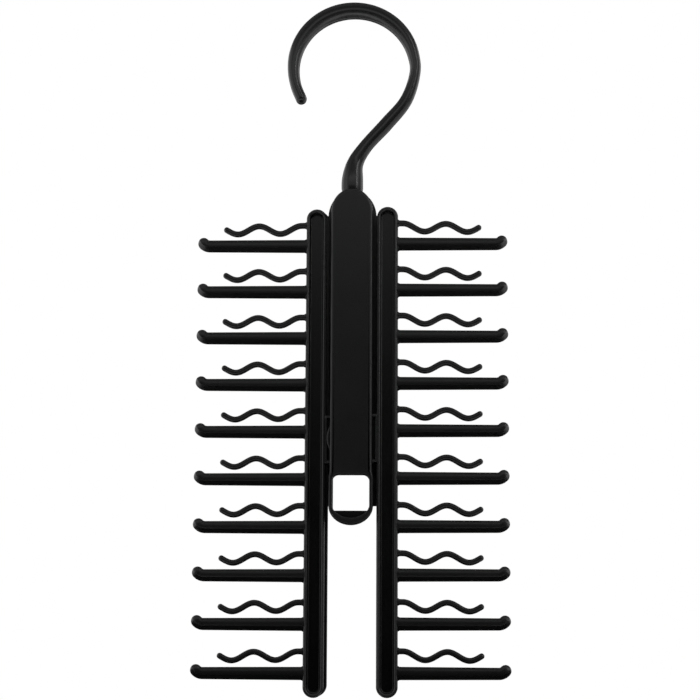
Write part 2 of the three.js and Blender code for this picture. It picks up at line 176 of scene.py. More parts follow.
def add_piece(name: str, shells: list[Shell], palette: Palette, slot: Slot, body: Body, *nodes: str) -> None:
    """Makes one mesh of a few skins, welds it, and ties it to its body, slot and CAD nodes.

    Args:
        name: The piece's name.
        shells: Closed skins.
        palette: The finishes.
        slot: Material slot of the record, which also picks the finish.
        body: Body that the piece moves with.
        *nodes: CAD nodes that the piece replaces.
    """
    starts = np.cumsum([0] + [len(s.points) for s in shells])
    points = np.concatenate([s.points for s in shells]) * METRES
    faces = np.concatenate([s.faces + start for s, start in zip(shells, starts)])
    mesh = bpy.data.meshes.new(name)
    mesh.vertices.add(len(points))
    mesh.vertices.foreach_set("co", points.astype(np.float32).ravel())
    mesh.loops.add(faces.size)
    mesh.loops.foreach_set("vertex_index", faces.astype(np.int32).ravel())
    mesh.polygons.add(len(faces))
    mesh.polygons.foreach_set("loop_start", np.arange(0, faces.size, 4, dtype=np.int32))
    # Per-point mark: rubbed edges lightened partly as a painted highlight, recesses darkened as painted
    # shade.
    mark = mesh.attributes.new(WEAR_AND_SHADE_MARK, "FLOAT", "POINT")
    mark.data.foreach_set("value", np.concatenate([s.edge for s in shells]).astype(np.float32))
    mesh.update(calc_edges=True)
    mesh.validate()
    work = bmesh.new()
    work.from_mesh(mesh)
    bmesh.ops.remove_doubles(work, verts=work.verts, dist=WELD)
    bmesh.ops.dissolve_degenerate(work, edges=work.edges, dist=WELD)
    work.to_mesh(mesh)
    work.free()
    mesh.shade_smooth()
    mesh.set_sharp_from_angle(angle=SHARP_ANGLE)
    piece = link_object(name, mesh)
    piece.data.materials.append(palette[slot])
    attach(piece, body.value)
    if nodes:
        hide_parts(*nodes)
    LOG.info("%s: %d faces on %s", name, len(mesh.polygons), body.value)


def arc(centre: Pair, radii: Pair, start: float, end: float, count: int) -> Array:
    """Points on an upright ellipse from one angle to another.

    Args:
        centre: Middle of the ellipse, x and z.
        radii: Half width and half height.
        start: First angle in radians, from +X towards +Z.
        end: Last angle.
        count: Number of points, both ends included.

    Returns:
        Array of x and z.
    """
    angle = np.linspace(start, end, count)
    return np.stack([centre[0] + radii[0] * np.cos(angle), centre[1] + radii[1] * np.sin(angle)], axis=1)


def line(start: Pair, end: Pair, count: int) -> Array:
    """Evenly spaced points of a straight stretch, both ends included."""
    return np.linspace(np.array(start, float), np.array(end, float), count)


def even(path: Array, count: int, last: bool = False) -> Array:
    """Points at equal distances along a path of short stretches, as measured in its first two columns.

    Args:
        path: Corners of the path; more columns than two are carried along.
        count: Number of points.
        last: Whether the path's last end is one of them.

    Returns:
        The points, with all columns.
    """
    steps = np.linalg.norm(np.diff(path[:, :2], axis=0), axis=1)
    along = np.concatenate([[0.0], np.cumsum(steps)])
    wanted = np.linspace(0.0, along[-1], count, endpoint=last)
    return np.stack([np.interp(wanted, along, column) for column in path.T], axis=1)


@dataclass(frozen=True)
class Stadium:
    """Upright bar outline with round ends.

    Attributes:
        x: Middle of the bar.
        top: Highest point.
        bottom: Lowest point.
        half: Half width, and radius of the ends.
    """

    x: float
    top: float
    bottom: float
    half: float
    end_steps: int = 48
    side_steps: int = 32

    def ring(self, inset: float) -> Array:
        """The outline drawn in by an inset.

        Args:
            inset: Distance inwards from the outline.

        Returns:
            Points of x and z, over the top, down the left, round the bottom and up the right.
        """
        half = self.half - inset
        upper = self.top - self.half
        lower = self.bottom + self.half
        over = arc((self.x, upper), (half, half), 0, math.pi, self.end_steps)
        down = line((self.x - half, upper), (self.x - half, lower), self.side_steps)
        under = arc((self.x, lower), (half, half), math.pi, TURN, self.end_steps)
        up = line((self.x + half, lower), (self.x + half, upper), self.side_steps)
        return np.concatenate([over[:-1], down[:-1], under[:-1], up[:-1]])


def turned(profile: list[Pair], z: float, count: int = 64) -> Shell:
    """Body of revolution about a line of depth at a height: radius and depth are carried round.

    Args:
        profile: Radius and depth of each ring, in order round the section.
        z: Height of the axis.
        count: Points round the axis.

    Returns:
        The skin; a section that starts and ends on the axis is closed there.
    """
    angle = np.linspace(0, TURN, count, endpoint=False)
    radius, depth = np.array(profile, float).T[:, :, None]
    x, y = np.broadcast_arrays(radius * np.cos(angle), depth)
    rings = np.stack([x, y, z + radius * np.sin(angle)], axis=-1)
    return lattice(rings, np.zeros(len(rings)), closed=bool(radius.min() > 0))


@dataclass
class Rod:
    """Stations along a rod in one upright plane.

    Attributes:
        centres: Path points of x and z.
        headings: Direction of the path in radians.
        halves: Half thickness across the path.
        depths: Half thickness in depth.
    """

    centres: Array
    headings: Array
    halves: Array
    depths: Array

    def with_ball(self, steps: int) -> "Rod":
        """The rod with a ball-shaped end: reach by the sine and shrink by the cosine of an angle.

        Args:
            steps: Stations of the end, which stops just short of a point.

        Returns:
            The longer rod.
        """
        angle = np.linspace(0, 0.495 * math.pi, steps + 1)[1:]
        reach = self.halves[-1] * np.sin(angle)
        ahead = np.array([math.cos(self.headings[-1]), math.sin(self.headings[-1])])
        return Rod(
            np.concatenate([self.centres, self.centres[-1] + reach[:, None] * ahead]),
            np.concatenate([self.headings, np.full(steps, self.headings[-1])]),
            np.concatenate([self.halves, self.halves[-1] * np.cos(angle)]),
            np.concatenate([self.depths, self.depths[-1] * np.cos(angle)]),
        )

    def skin(self, y: float, sides: int, power: float, edge: Array, slope: Pair = (-1.0, 0.0)) -> Shell:
        """Skin of the rod with a super-elliptic section.

        A section point lies across the path by half * sign(c) * |c|^(2 / power), where c is the cosine of
        its place round the rod, and outwards in depth by the same rule with the sine. A slope may cut off
        the front below a level, running back from the foremost depth there to a share of the depth at the
        lowest point.

        Args:
            y: Depth of the path.
            sides: Points round the section.
            power: Roundness: 2 is an ellipse, more is squarer.
            edge: Mark of each station, or of each point by station and place.
            slope: Level of the cut and how far back it runs, both from -1 to 1 of the half thicknesses.

        Returns:
            The closed rod.
        """
        angle = np.linspace(0, TURN, sides, endpoint=False)
        waves = np.stack([np.cos(angle), np.sin(angle)])
        across, outwards = np.sign(waves) * np.abs(waves) ** (2 / power)
        level, back = slope
        rising = np.sign(np.cos(self.headings[0]))
        below = np.clip((level - across * rising) / max(level + 1, 1e-6), 0, 1)
        outwards = np.maximum(outwards, below * (1 + back) - 1)
        side = self.halves[:, None] * across
        x = self.centres[:, :1] - np.sin(self.headings)[:, None] * side
        z = self.centres[:, 1:] + np.cos(self.headings)[:, None] * side
        depth = y + self.depths[:, None] * outwards
        return capped(np.stack([x, depth, z], axis=-1), edge)


class Nodes:
    """Short forms for placing and joining shader nodes in one tree."""

    def __init__(self, tree: bpy.types.NodeTree) -> None:
        """Empties the tree."""
        self.tree = tree
        tree.nodes.clear()

    def feed(self, value: object, into: Socket) -> None:
        """Links a socket to another one, or sets a plain value.

        Args:
            value: Socket, number or colour.
            into: Socket that takes it.
        """
        if isinstance(value, bpy.types.NodeSocket):
            self.tree.links.new(value, into)
        else:
            into.default_value = value

    def add(self, kind: str, inputs: dict[str, object] | None = None, **settings: object) -> bpy.types.Node:
        """New node of a kind.

        Args:
            kind: Blender's name of the node.
            inputs: Sockets or plain values for its inputs, by name.
            **settings: Properties of the node.

        Returns:
            The node.
        """
        node = self.tree.nodes.new(kind)
        for name, value in settings.items():
            setattr(node, name, value)
        for name, value in (inputs or {}).items():
            self.feed(value, node.inputs[name])
        return node

    def math(self, operation: str, first: object, second: object, clamp: bool = False) -> Socket:
        """Result of a sum on sockets or numbers.

        Args:
            operation: Blender's name of the operation.
            first: Socket or number.
            second: Socket or number.
            clamp: Whether the result stays from 0 to 1.

        Returns:
            The output socket.
        """
        node = self.add("ShaderNodeMath", operation=operation, use_clamp=clamp)
        self.feed(first, node.inputs[0])
        self.feed(second, node.inputs[1])
        return node.outputs[0]

    def blend(self, factor: Socket, first: object, second: object) -> Socket:
        """Colour between two colours.

        Args:
            factor: Share of the second colour.
            first: Socket or colour.
            second: Socket or colour.

        Returns:
            The output socket.
        """
        node = self.add("ShaderNodeMix", {"Factor": factor}, data_type="RGBA")
        self.feed(first, node.inputs[6])
        self.feed(second, node.inputs[7])
        return node.outputs[2]

    def place(self) -> Socket:
        """Object coordinates."""
        return self.add("ShaderNodeTexCoord").outputs["Object"]

    def noise(self, scale: object, detail: float, roughness: float, distortion: float = 0.0) -> Socket:
        """Noise in object coordinates, from 0 to 1.

        Args:
            scale: Socket or number for the noise's scale.
            detail: Number of finer layers.
            roughness: Weight of the finer layers.
            distortion: How far the noise is warped.

        Returns:
            The output socket.
        """
        inputs = {"Vector": self.place(), "Scale": scale, "Detail": detail, "Roughness": roughness}
        return self.add("ShaderNodeTexNoise", {**inputs, "Distortion": distortion}).outputs["Fac"]

    def bump(self, height: Socket, distance: float) -> Socket:
        """Normal bent by a height, whose full swing is a distance in metres."""
        inputs = {"Height": height, "Strength": 1.0, "Distance": distance}
        return self.add("ShaderNodeBump", inputs).outputs["Normal"]


def new_group(
    name: str, inputs: dict[str, float], outputs: tuple[str, ...],
) -> tuple[Nodes, Sockets, Sockets]:
    """Empty shader node group with plain number sockets.

    Args:
        name: Name of the group.
        inputs: Input names and their first values.
        outputs: Output names.

    Returns:
        The group's node helper, the sockets that it is given and those that take its results.
    """
    group = bpy.data.node_groups.new(name, "ShaderNodeTree")
    for label, value in inputs.items():
        group.interface.new_socket(label, in_out="INPUT", socket_type="NodeSocketFloat").default_value = value
    for label in outputs:
        group.interface.new_socket(label, in_out="OUTPUT", socket_type="NodeSocketFloat")
    nodes = Nodes(group)
    return nodes, nodes.add("NodeGroupInput").outputs, nodes.add("NodeGroupOutput").inputs


def new_material(name: str) -> tuple[Material, Nodes, Socket]:
    """Material with nothing but its output.

    Args:
        name: Name of the material.

    Returns:
        The material, its node helper and the socket that takes its surface.
    """
    made = bpy.data.materials.new(name)
    made.use_nodes = True
    nodes = Nodes(made.node_tree)
    return made, nodes, nodes.add("ShaderNodeOutputMaterial").inputs["Surface"]


class SharedEffects:
    """Node groups that several finishes use."""

    def __init__(self) -> None:
        """Builds each group once."""
        self.grain = self.mould_grain()
        self.wear_and_shade = self.edge_wear_and_shade()
        self.dust = self.settled_dust()

    @staticmethod
    def mould_grain() -> bpy.types.NodeTree:
        """Fine spark-eroded mould texture: fine noise as a height, and slow patches of gloss.

        Returns:
            The group.
        """
        scales = {"Size": 2600.0, "Flow": 45.0}
        nodes, given, results = new_group("Mould grain", scales, ("Height", "Patches"))
        nodes.feed(nodes.noise(given["Size"], 3.0, 0.6), results["Height"])
        nodes.feed(nodes.noise(given["Flow"], 2.0, 0.5, 0.6), results["Patches"])
        return nodes.tree

    @staticmethod
    def edge_wear_and_shade() -> bpy.types.NodeTree:
        """Rubbed edges, lightened partly as a painted highlight, and painted shade in recesses: the edge
        mark, broken up by noise, and how far it is below 0.

        Returns:
            The group.
        """
        # The group gives the rubbed-edge mask and a mask of painted shade in recesses.
        nodes, given, results = new_group("Edge wear", {"Break-up": 420.0, "Amount": 1.0}, ("Mask", "Painted shade"))
        mark = nodes.add("ShaderNodeAttribute", attribute_name=WEAR_AND_SHADE_MARK).outputs["Fac"]
        lifted = nodes.math("ADD", nodes.noise(given["Break-up"], 4.0, 0.65), 0.35)
        broken = nodes.math("MULTIPLY", lifted, mark)
        nodes.feed(nodes.math("MULTIPLY", broken, given["Amount"], clamp=True), results["Mask"])
        # How far the mark is below 0: the share of painted shade in recesses.
        nodes.feed(nodes.math("MULTIPLY", mark, -1.0, clamp=True), results["Painted shade"])
        return nodes.tree

    @staticmethod
    def settled_dust() -> bpy.types.NodeTree:
        """Faint dust on faces that look up: the normal's height times a speckle.

        Returns:
            The group.
        """
        nodes, given, results = new_group("Settled dust", {"Speckle": 900.0, "Amount": 0.5}, ("Mask",))
        normal = nodes.add("ShaderNodeNewGeometry").outputs["Normal"]
        height = nodes.add("ShaderNodeSeparateXYZ", {"Vector": normal}).outputs["Z"]
        over = nodes.math("SUBTRACT", nodes.noise(given["Speckle"], 5.0, 0.7), 0.42)
        specks = nodes.math("MULTIPLY", over, 3.0, clamp=True)
        upward = nodes.math("MULTIPLY", height, given["Amount"], clamp=True)
        nodes.feed(nodes.math("MULTIPLY", upward, specks), results["Mask"])
        return nodes.tree


@dataclass(frozen=True)
class BlackPlastic:
    """Black moulded plastic.

    Attributes:
        name: Name of the material.
        colour: Linear base colour.
        worn_and_highlight: Linear colour of rubbed edges, lighter than rubbing alone so that it also paints a
            highlight along rims and bar tips.
        roughness: Roughness of the plain surface.
        patchiness: How far the gloss wanders.
        polish: How much smoother rubbed edges are.
        grain: Distance of the mould texture's bump in metres.
        grain_size: Scale of the mould texture.
        dust: Amount of settled dust.
        deep: Share of the base colour that is left in recesses, which paints shade there.
        deep_polish: How much smoother recesses are.
        dust_colour: Linear colour of the dust.
        dust_dulling: How much rougher dust is.
    """

    name: str
    colour: Triple
    worn_and_highlight: Triple
    roughness: float
    patchiness: float
    polish: float
    grain: float
    grain_size: float
    dust: float
    deep: float = 0.2
    deep_polish: float = 0.05
    dust_colour: Triple = (0.16, 0.155, 0.15)
    dust_dulling: float = 0.3

    def material(self, effects: SharedEffects) -> Material:
        """Principled plastic whose colour, roughness and bump come from the shared effects.

        Args:
            effects: The shared node groups.

        Returns:
            The material.
        """
        made, nodes, surface = new_material(self.name)
        grain = nodes.add("ShaderNodeGroup", {"Size": self.grain_size}, node_tree=effects.grain).outputs
        wear_and_shade = nodes.add("ShaderNodeGroup", node_tree=effects.wear_and_shade).outputs
        dust = nodes.add("ShaderNodeGroup", {"Amount": self.dust}, node_tree=effects.dust).outputs["Mask"]
        # Painted shade: recesses darken to a share of the base colour.
        shaded = tuple(self.deep * c for c in self.colour)
        colour = nodes.blend(wear_and_shade["Painted shade"], (*self.colour, 1), (*shaded, 1))
        # Rubbed edges lighten towards this colour, which also paints a highlight along rims and bar tips.
        colour = nodes.blend(wear_and_shade["Mask"], colour, (*self.worn_and_highlight, 1))
        colour = nodes.blend(dust, colour, (*self.dust_colour, 1))
        swing = nodes.math("SUBTRACT", grain["Patches"], 0.5)
        rough = nodes.math("ADD", nodes.math("MULTIPLY", swing, self.patchiness), self.roughness)
        rough = nodes.math("SUBTRACT", rough, nodes.math("MULTIPLY", wear_and_shade["Mask"], self.polish))
        rough = nodes.math("SUBTRACT", rough, nodes.math("MULTIPLY", wear_and_shade["Painted shade"], self.deep_polish))
        dulled = nodes.math("MULTIPLY", dust, self.dust_dulling)
        skin = nodes.add("ShaderNodeBsdfPrincipled", {
            "Base Color": colour,
            "Roughness": nodes.math("ADD", rough, dulled, clamp=True),
            "Normal": nodes.bump(grain["Height"], self.grain),
        })
        nodes.feed(skin.outputs["BSDF"], surface)
        return made


@dataclass(frozen=True)
class PlatedSteel:
    """Zinc-plated screw steel, dull in patches and faintly pitted.

    Attributes:
        name: Name of the material.
        colour: Linear colour of the plating.
        dull: Linear colour of dull spots.
        roughness: Least roughness.
        patchiness: How far the roughness rises in dull spots.
        grain: Distance of the bump in metres.
        grain_size: Scale of the bump.
        flow: Scale of the dull spots.
    """

    name: str = "zinc plated steel"
    colour: Triple = (0.56, 0.57, 0.58)
    dull: Triple = (0.33, 0.34, 0.35)
    roughness: float = 0.17
    patchiness: float = 0.3
    grain: float = 0.00001
    grain_size: float = 3000.0
    flow: float = 700.0

    def material(self, effects: SharedEffects) -> Material:
        """Metal whose colour and roughness wander with slow patches.

        Args:
            effects: The shared node groups.

        Returns:
            The material.
        """
        made, nodes, surface = new_material(self.name)
        sizes = {"Size": self.grain_size, "Flow": self.flow}
        grain = nodes.add("ShaderNodeGroup", sizes, node_tree=effects.grain).outputs
        swing = nodes.math("MULTIPLY", grain["Patches"], self.patchiness)
        skin = nodes.add("ShaderNodeBsdfPrincipled", {
            "Base Color": nodes.blend(grain["Patches"], (*self.colour, 1), (*self.dull, 1)),
            "Metallic": 1.0,
            "Roughness": nodes.math("ADD", swing, self.roughness),
            "Normal": nodes.bump(grain["Height"], self.grain),
        })
        nodes.feed(skin.outputs["BSDF"], surface)
        return made


def make_palette() -> Palette:
    """Builds the shared effects and every finish.

    Returns:
        The materials by slot.
    """
    finishes = {
        Slot.GLOSS: BlackPlastic(
            "gloss black plastic", colour=(0.006, 0.006, 0.0065), worn_and_highlight=(0.034, 0.034, 0.035), roughness=0.24,
            patchiness=0.10, polish=0.04, grain=0.000006, grain_size=1500.0, dust=0.05,
        ),
        Slot.SATIN: BlackPlastic(
            "satin black plastic", colour=(0.003, 0.003, 0.0032), worn_and_highlight=(0.008, 0.008, 0.0084), roughness=0.40,
            patchiness=0.10, polish=0.10, grain=0.00002, grain_size=2600.0, dust=0.05,
        ),
        Slot.ARM: BlackPlastic(
            "arm black plastic", colour=(0.003, 0.003, 0.0032), worn_and_highlight=(0.014, 0.014, 0.0146), roughness=0.36,
            patchiness=0.12, polish=0.10, grain=0.000015, grain_size=2200.0, dust=0.06,
        ),
        Slot.STEEL: PlatedSteel(),
        Slot.NYLON: BlackPlastic(
            "dark nylon", colour=(0.05, 0.05, 0.048), worn_and_highlight=(0.06, 0.06, 0.058), roughness=0.6,
            patchiness=0.1, polish=0.05, grain=0.00001, grain_size=3000.0, dust=0.0,
        ),
    }
    effects = SharedEffects()
    return {slot: finish.material(effects) for slot, finish in finishes.items()}


@dataclass(frozen=True)
class SwivelHook:
    """The hook: two circles bound its bend, a slanted shank leads to a neck, and a stem to a flange.

    Attributes:
        centre_x: Middle of the bend, from the swivel axis.
        inner_radius: Radius of the bend's inner edge, whose top is the origin.
        outer_radius: Radius of its outer edge.
        outer_shift: Sideways step from the inner circle's centre to the outer one's.
        apex: Thickness at the top.
        least: Thickness that the bend keeps at its tip.
        depth: Thickness in depth along the bend.
        tip_angle: Angle of the tip round the bend.
        arc_step: Angle between the bend's stations.
        neck_ease: Height above the neck's foot and how much narrower the neck is there.
        flange_ease: Size of the flange's bevels.
        shank: x, z and half thickness from the bend's end down to the neck's foot.
        rub_foot: Height at which the band rubbed by the rod ends, inside the bend.
        rub_fade: Height over which the band grows to its full strength.
        rub_band: Cosines of the places round the rod at which the band starts and is at full strength.
        foot_gap: Height above the neck's foot at which the swept rod begins.
    """

    centre_x: float = 0.8
    inner_radius: float = 27.1
    outer_radius: float = 32.7
    outer_shift: float = -0.34
    apex: float = 8.25
    least: float = 5.4
    depth: float = 7.8
    tip_angle: float = 208.5
    arc_step: float = 15.0
    neck_radius: float = 5.2
    neck_bottom: float = -90.45
    neck_ease: tuple[Pair, ...] = ((0.0, 1.0), (0.25, 0.65), (0.9, 0.4), (1.9, 0.2))
    stem_radius: float = 3.6
    flange_radius: float = 5.2
    flange_top: float = -92.25
    flange_bottom: float = -93.45
    flange_ease: float = 0.3
    shank: tuple[Triple, ...] = (
        (26.2, -41.9, 3.05), (16.6, -54.1, 3.35), (6.15, -66.0, 3.3), (1.25, -74.3, 4.05), (0.0, -82.3, 5.15),
    )
    rub_foot: float = -31.0
    rub_fade: float = 15.0
    rub_band: Pair = (0.3, 0.55)
    foot_gap: float = 0.8
    stations: int = 220
    stretch_steps: int = 24
    sides: int = 48
    roundness: float = 2.15

    def bend(self, degrees: Array) -> Array:
        """Middle line and half thickness of the bend on rays from the inner circle's centre.

        A ray meets the outer circle, whose centre lies off by a step s, at r.s + sqrt((r.s)^2 - s.s + R^2).

        Args:
            degrees: Angles of the rays.

        Returns:
            Columns of x, z and half thickness.
        """
        angle = np.radians(degrees)
        lift = self.apex + self.inner_radius - self.outer_radius
        along = self.outer_shift * np.cos(angle) + lift * np.sin(angle)
        outer = along + np.sqrt(along**2 - self.outer_shift**2 - lift**2 + self.outer_radius**2)
        half = np.maximum(outer - self.inner_radius, self.least) / 2
        middle = self.inner_radius + half
        x = self.centre_x + middle * np.cos(angle)
        return np.stack([x, middle * np.sin(angle) - self.inner_radius, half], axis=1)

    def line_points(self) -> Array:
        """Smooth middle line from the neck's foot to the tip.

        A centripetal spline passes through the stations: each stretch's knots are the square roots of its
        chords, and its tangents are the mean slopes at its ends.

        Returns:
            Columns of x, z and half thickness at equal distances.
        """
        foot = np.array([[0.0, self.neck_bottom, self.neck_radius]])
        turns = np.append(np.arange(0.0, self.tip_angle, self.arc_step), self.tip_angle)
        knots = np.concatenate([foot, np.array(self.shank)[::-1], self.bend(turns)])
        weights = np.sqrt(np.linalg.norm(np.diff(knots[:, :2], axis=0), axis=1))[:, None]
        slopes = np.diff(knots, axis=0) / weights
        inside = (slopes[:-1] * weights[1:] + slopes[1:] * weights[:-1]) / (weights[:-1] + weights[1:])
        tangents = np.concatenate([slopes[:1], inside, slopes[-1:]])
        t = np.linspace(0, 1, self.stretch_steps, endpoint=False)[None, :, None]
        start, end = knots[:-1, None, :], knots[1:, None, :]
        lead, trail = tangents[:-1, None, :] * weights[:, None], tangents[1:, None, :] * weights[:, None]
        curve = ((2 * t**3 - 3 * t**2 + 1) * start + (t**3 - 2 * t**2 + t) * lead
                 + (3 * t**2 - 2 * t**3) * end + (t**3 - t**2) * trail)
        return even(np.concatenate([curve.reshape(-1, 3), knots[-1:]]), self.stations, last=True)

    def foot_profile(self) -> Array:
        """Height and radius of the flange, the stem and the neck's rounded foot, from below.

        Returns:
            Columns of height and radius.
        """
        ease = self.flange_ease
        flange = [
            (self.flange_bottom, self.flange_radius - ease), (self.flange_bottom + ease, self.flange_radius),
            (self.flange_top - ease, self.flange_radius), (self.flange_top, self.flange_radius - ease),
            (self.flange_top, self.stem_radius), (self.neck_bottom, self.stem_radius),
        ]
        neck = [(self.neck_bottom + up, self.neck_radius - less) for up, less in self.neck_ease]
        return np.array(flange + neck)

    def build(self, palette: Palette) -> None:
        """One swept piece from the flange up to the tip.

        Args:
            palette: The finishes.
        """
        points = self.line_points()
        headings = np.arctan2(np.gradient(points[:, 1]), np.gradient(points[:, 0]))
        headings[0] = math.pi / 2
        depths = np.maximum(self.depth / 2, points[:, 2])
        upper = Rod(points[:, :2], headings, points[:, 2], depths).with_ball(10)
        level, radius = self.foot_profile().T
        above = upper.centres[:, 1] > level[-1] + self.foot_gap
        rod = Rod(
            np.concatenate([np.stack([np.zeros(len(level)), level], axis=1), upper.centres[above]]),
            np.concatenate([np.full(len(level), math.pi / 2), upper.headings[above]]),
            np.concatenate([radius, upper.halves[above]]),
            np.concatenate([radius, upper.depths[above]]),
        )
        place = np.linspace(0, TURN, self.sides, endpoint=False)
        start, full = self.rub_band
        inside = np.clip((np.cos(place) - start) / (full - start), 0, 1)
        bearing = np.clip((rod.centres[:, 1] - self.rub_foot) / self.rub_fade, 0, 1)
        shell = rod.skin(0.0, self.sides, self.roundness, bearing[:, None] * inside)
        add_piece("hook", [shell], palette, Slot.GLOSS, Body.HOOK, "swivel_hook")


@dataclass(frozen=True)
class Loop:
    """Levels of the window's surround, on the front or the rear of the bar."""

    bottom: float
    top: float


@dataclass(frozen=True)
class CentreBar:
    """Two covers with a slot between them, a hub on top, and a window in the lower end.

    Attributes:
        top: Highest point of the crown.
        half_width: Half width of the front cover above its window.
        crown: Height of the crown's curve.
        loop_half: Half width of the loop round the window.
        loop_foot: Height of the loop's elliptic lower end.
        loop_ease: Share of an inset that is kept round the loop.
        widening: Heights between which the front cover widens to the loop.
        back_top: Highest point of the rear cover.
        back_half: Half width of the rear cover beyond its shoulders.
        back_crown: Height of the rear cover's curve.
        shoulder_half: Half width of the rear cover between its shoulders.
        half_depth: Half thickness of the whole bar.
        slot: Half thickness of the slot between the covers.
        front_hole, front_rim, back_hole, back_rim: Edges as distance from the outline, depth below the
        cover's face and mark; marks above 0 lighten rubbed edges, partly as a painted highlight, and marks
        below 0 darken as painted shade.
    """

    top: float = -88.6
    half_width: float = 10.05
    crown: float = 11.3
    loop_half: float = 10.5
    loop_foot: float = 9.2
    loop_ease: float = 0.55
    widening: Pair = (-226.0, -229.5)
    back_top: float = -86.4
    back_half: float = 11.75
    back_crown: float = 13.6
    shoulder_half: float = 13.4
    shoulder_top: float = -99.4
    shoulder_bottom: float = -241.4
    shoulder_corner: float = 0.8
    half_depth: float = 7.5
    slot: float = 5.0
    core_inset: float = 0.25
    hub_seat: float = -90.75
    hub_bottom: float = -94.85
    pocket_top: float = -91.95
    pocket_bottom: float = -93.75
    pocket_radius: float = 5.5
    bore_radius: float = 3.9
    block_top: float = -222.4
    block_half_width: float = 10.0
    block_ease: float = 0.12
    loop_step: float = -2.5
    window_half_width: float = 8.7
    window_corner: float = 3.0
    window_end_radius: float = 9.05
    window_end: float = -240.5
    recess_drop: float = 3.5
    sill: float = -244.9
    pivot_z: float = -210.2
    boss_radius: float = 4.5
    boss_ease: float = 0.3
    boss_floor: float = -4.0
    washer_radius: float = 8.0
    washer_half: float = 0.2
    screw_head: float = 3.4
    screw_shank: float = 1.5
    counterbore: float = 2.0
    running_gap: float = 0.3
    split_z: float = -217.6
    front_loop: Loop = Loop(-251.8, -227.9)
    rear_loop: Loop = Loop(-249.3, -225.5)
    upper_steps: int = 160
    lower_steps: int = 96
    cover_steps: int = 420
    front_hole: tuple[Triple, ...] = (
        (0, 0.7, 0), (0.03, 0.45, 0.2), (0.12, 0.2, 0.8), (0.28, 0.05, 0.8), (0.5, 0, 0.2),
    )
    # Marks: the rubbed rounding is lightened, partly as a painted highlight; the steep side towards the slot
    # is darkened as painted shade.
    front_rim: tuple[Triple, ...] = (
        (1.9, 0, 0), (1.45, 0.01, 0.1), (1.1, 0.05, 0.4), (0.8, 0.13, 0.8), (0.55, 0.26, 1), (0.36, 0.43, 1),
        (0.2, 0.66, 0.6), (0.08, 0.94, 0), (0.02, 1.25, -0.5), (0, 1.6, -1),
    )
    back_hole: tuple[Triple, ...] = ((0, 0.35, 0), (0.04, 0.18, 0.4), (0.14, 0.05, 0.6), (0.3, 0, 0.2))
    back_rim: tuple[Triple, ...] = ((0.36, 0, 0.2), (0.2, 0.06, 0.8), (0.07, 0.2, 0.8), (0, 0.45, 0.2))

    def plate_outline(self, inset: float) -> Array:
        """Outline of the front cover, split at the window's middle into an upper and a lower path.

        Down the widening, u = 0 to 1, the half width grows and the inset shrinks by the step 3u^2 - 2u^3.

        Args:
            inset: Distance inwards.

        Returns:
            Points round the outline from the right, as many as a window outline has.
        """
        middle = self.window_middle(self.front_loop)
        spring = self.top - self.crown
        end = self.front_loop.bottom + self.loop_foot
        quarter = self.upper_steps // 4
        high, low = self.widening
        z = np.interp(np.linspace(0, 1, quarter + 1), [0, 0.8, 1], [middle, high + 1, spring])
        u = np.clip((high - z) / (high - low), 0, 1)
        step = 3 * u**2 - 2 * u**3
        eased = inset * self.loop_ease
        half = self.loop_half - eased
        right = np.stack([(self.half_width - inset) * (1 - step) + half * step, z], axis=1)
        over = arc((0, spring), (self.half_width - inset, self.crown - inset), 0, math.pi, 2 * quarter + 1)
        left = right[::-1] * np.array([-1, 1])
        under = np.concatenate([
            line((-half, middle), (-half, end), 8)[:-1],
            arc((0, end), (half, self.loop_foot - eased), math.pi, TURN, 120),
            line((half, end), (half, middle), 8)[1:],
        ])
        return np.concatenate([right[:-1], over[:-1], left[:-1], even(under, self.lower_steps)])

    def window_middle(self, loop: Loop) -> float:
        """Height halfway up a window."""
        return (loop.top + self.sill) / 2

    def window_upper(self, loop: Loop, grow: float) -> Array:
        """Upper path of a window with round corners, from its right side over its top to its left side.

        Args:
            loop: Levels of the window.
            grow: Distance outwards.

        Returns:
            Points of x and z.
        """
        half = self.window_half_width + grow
        corner = self.window_corner + grow
        shoulder = loop.top - self.window_corner
        middle = self.window_middle(loop)
        inner = half - corner
        path = np.concatenate([
            line((half, middle), (half, shoulder), 12)[:-1],
            arc((inner, shoulder), (corner, corner), 0, math.pi / 2, 24)[:-1],
            line((inner, shoulder + corner), (-inner, shoulder + corner), 20)[:-1],
            arc((-inner, shoulder), (corner, corner), math.pi / 2, math.pi, 24)[:-1],
            line((-half, shoulder), (-half, middle), 12),
        ])
        return even(path, self.upper_steps)

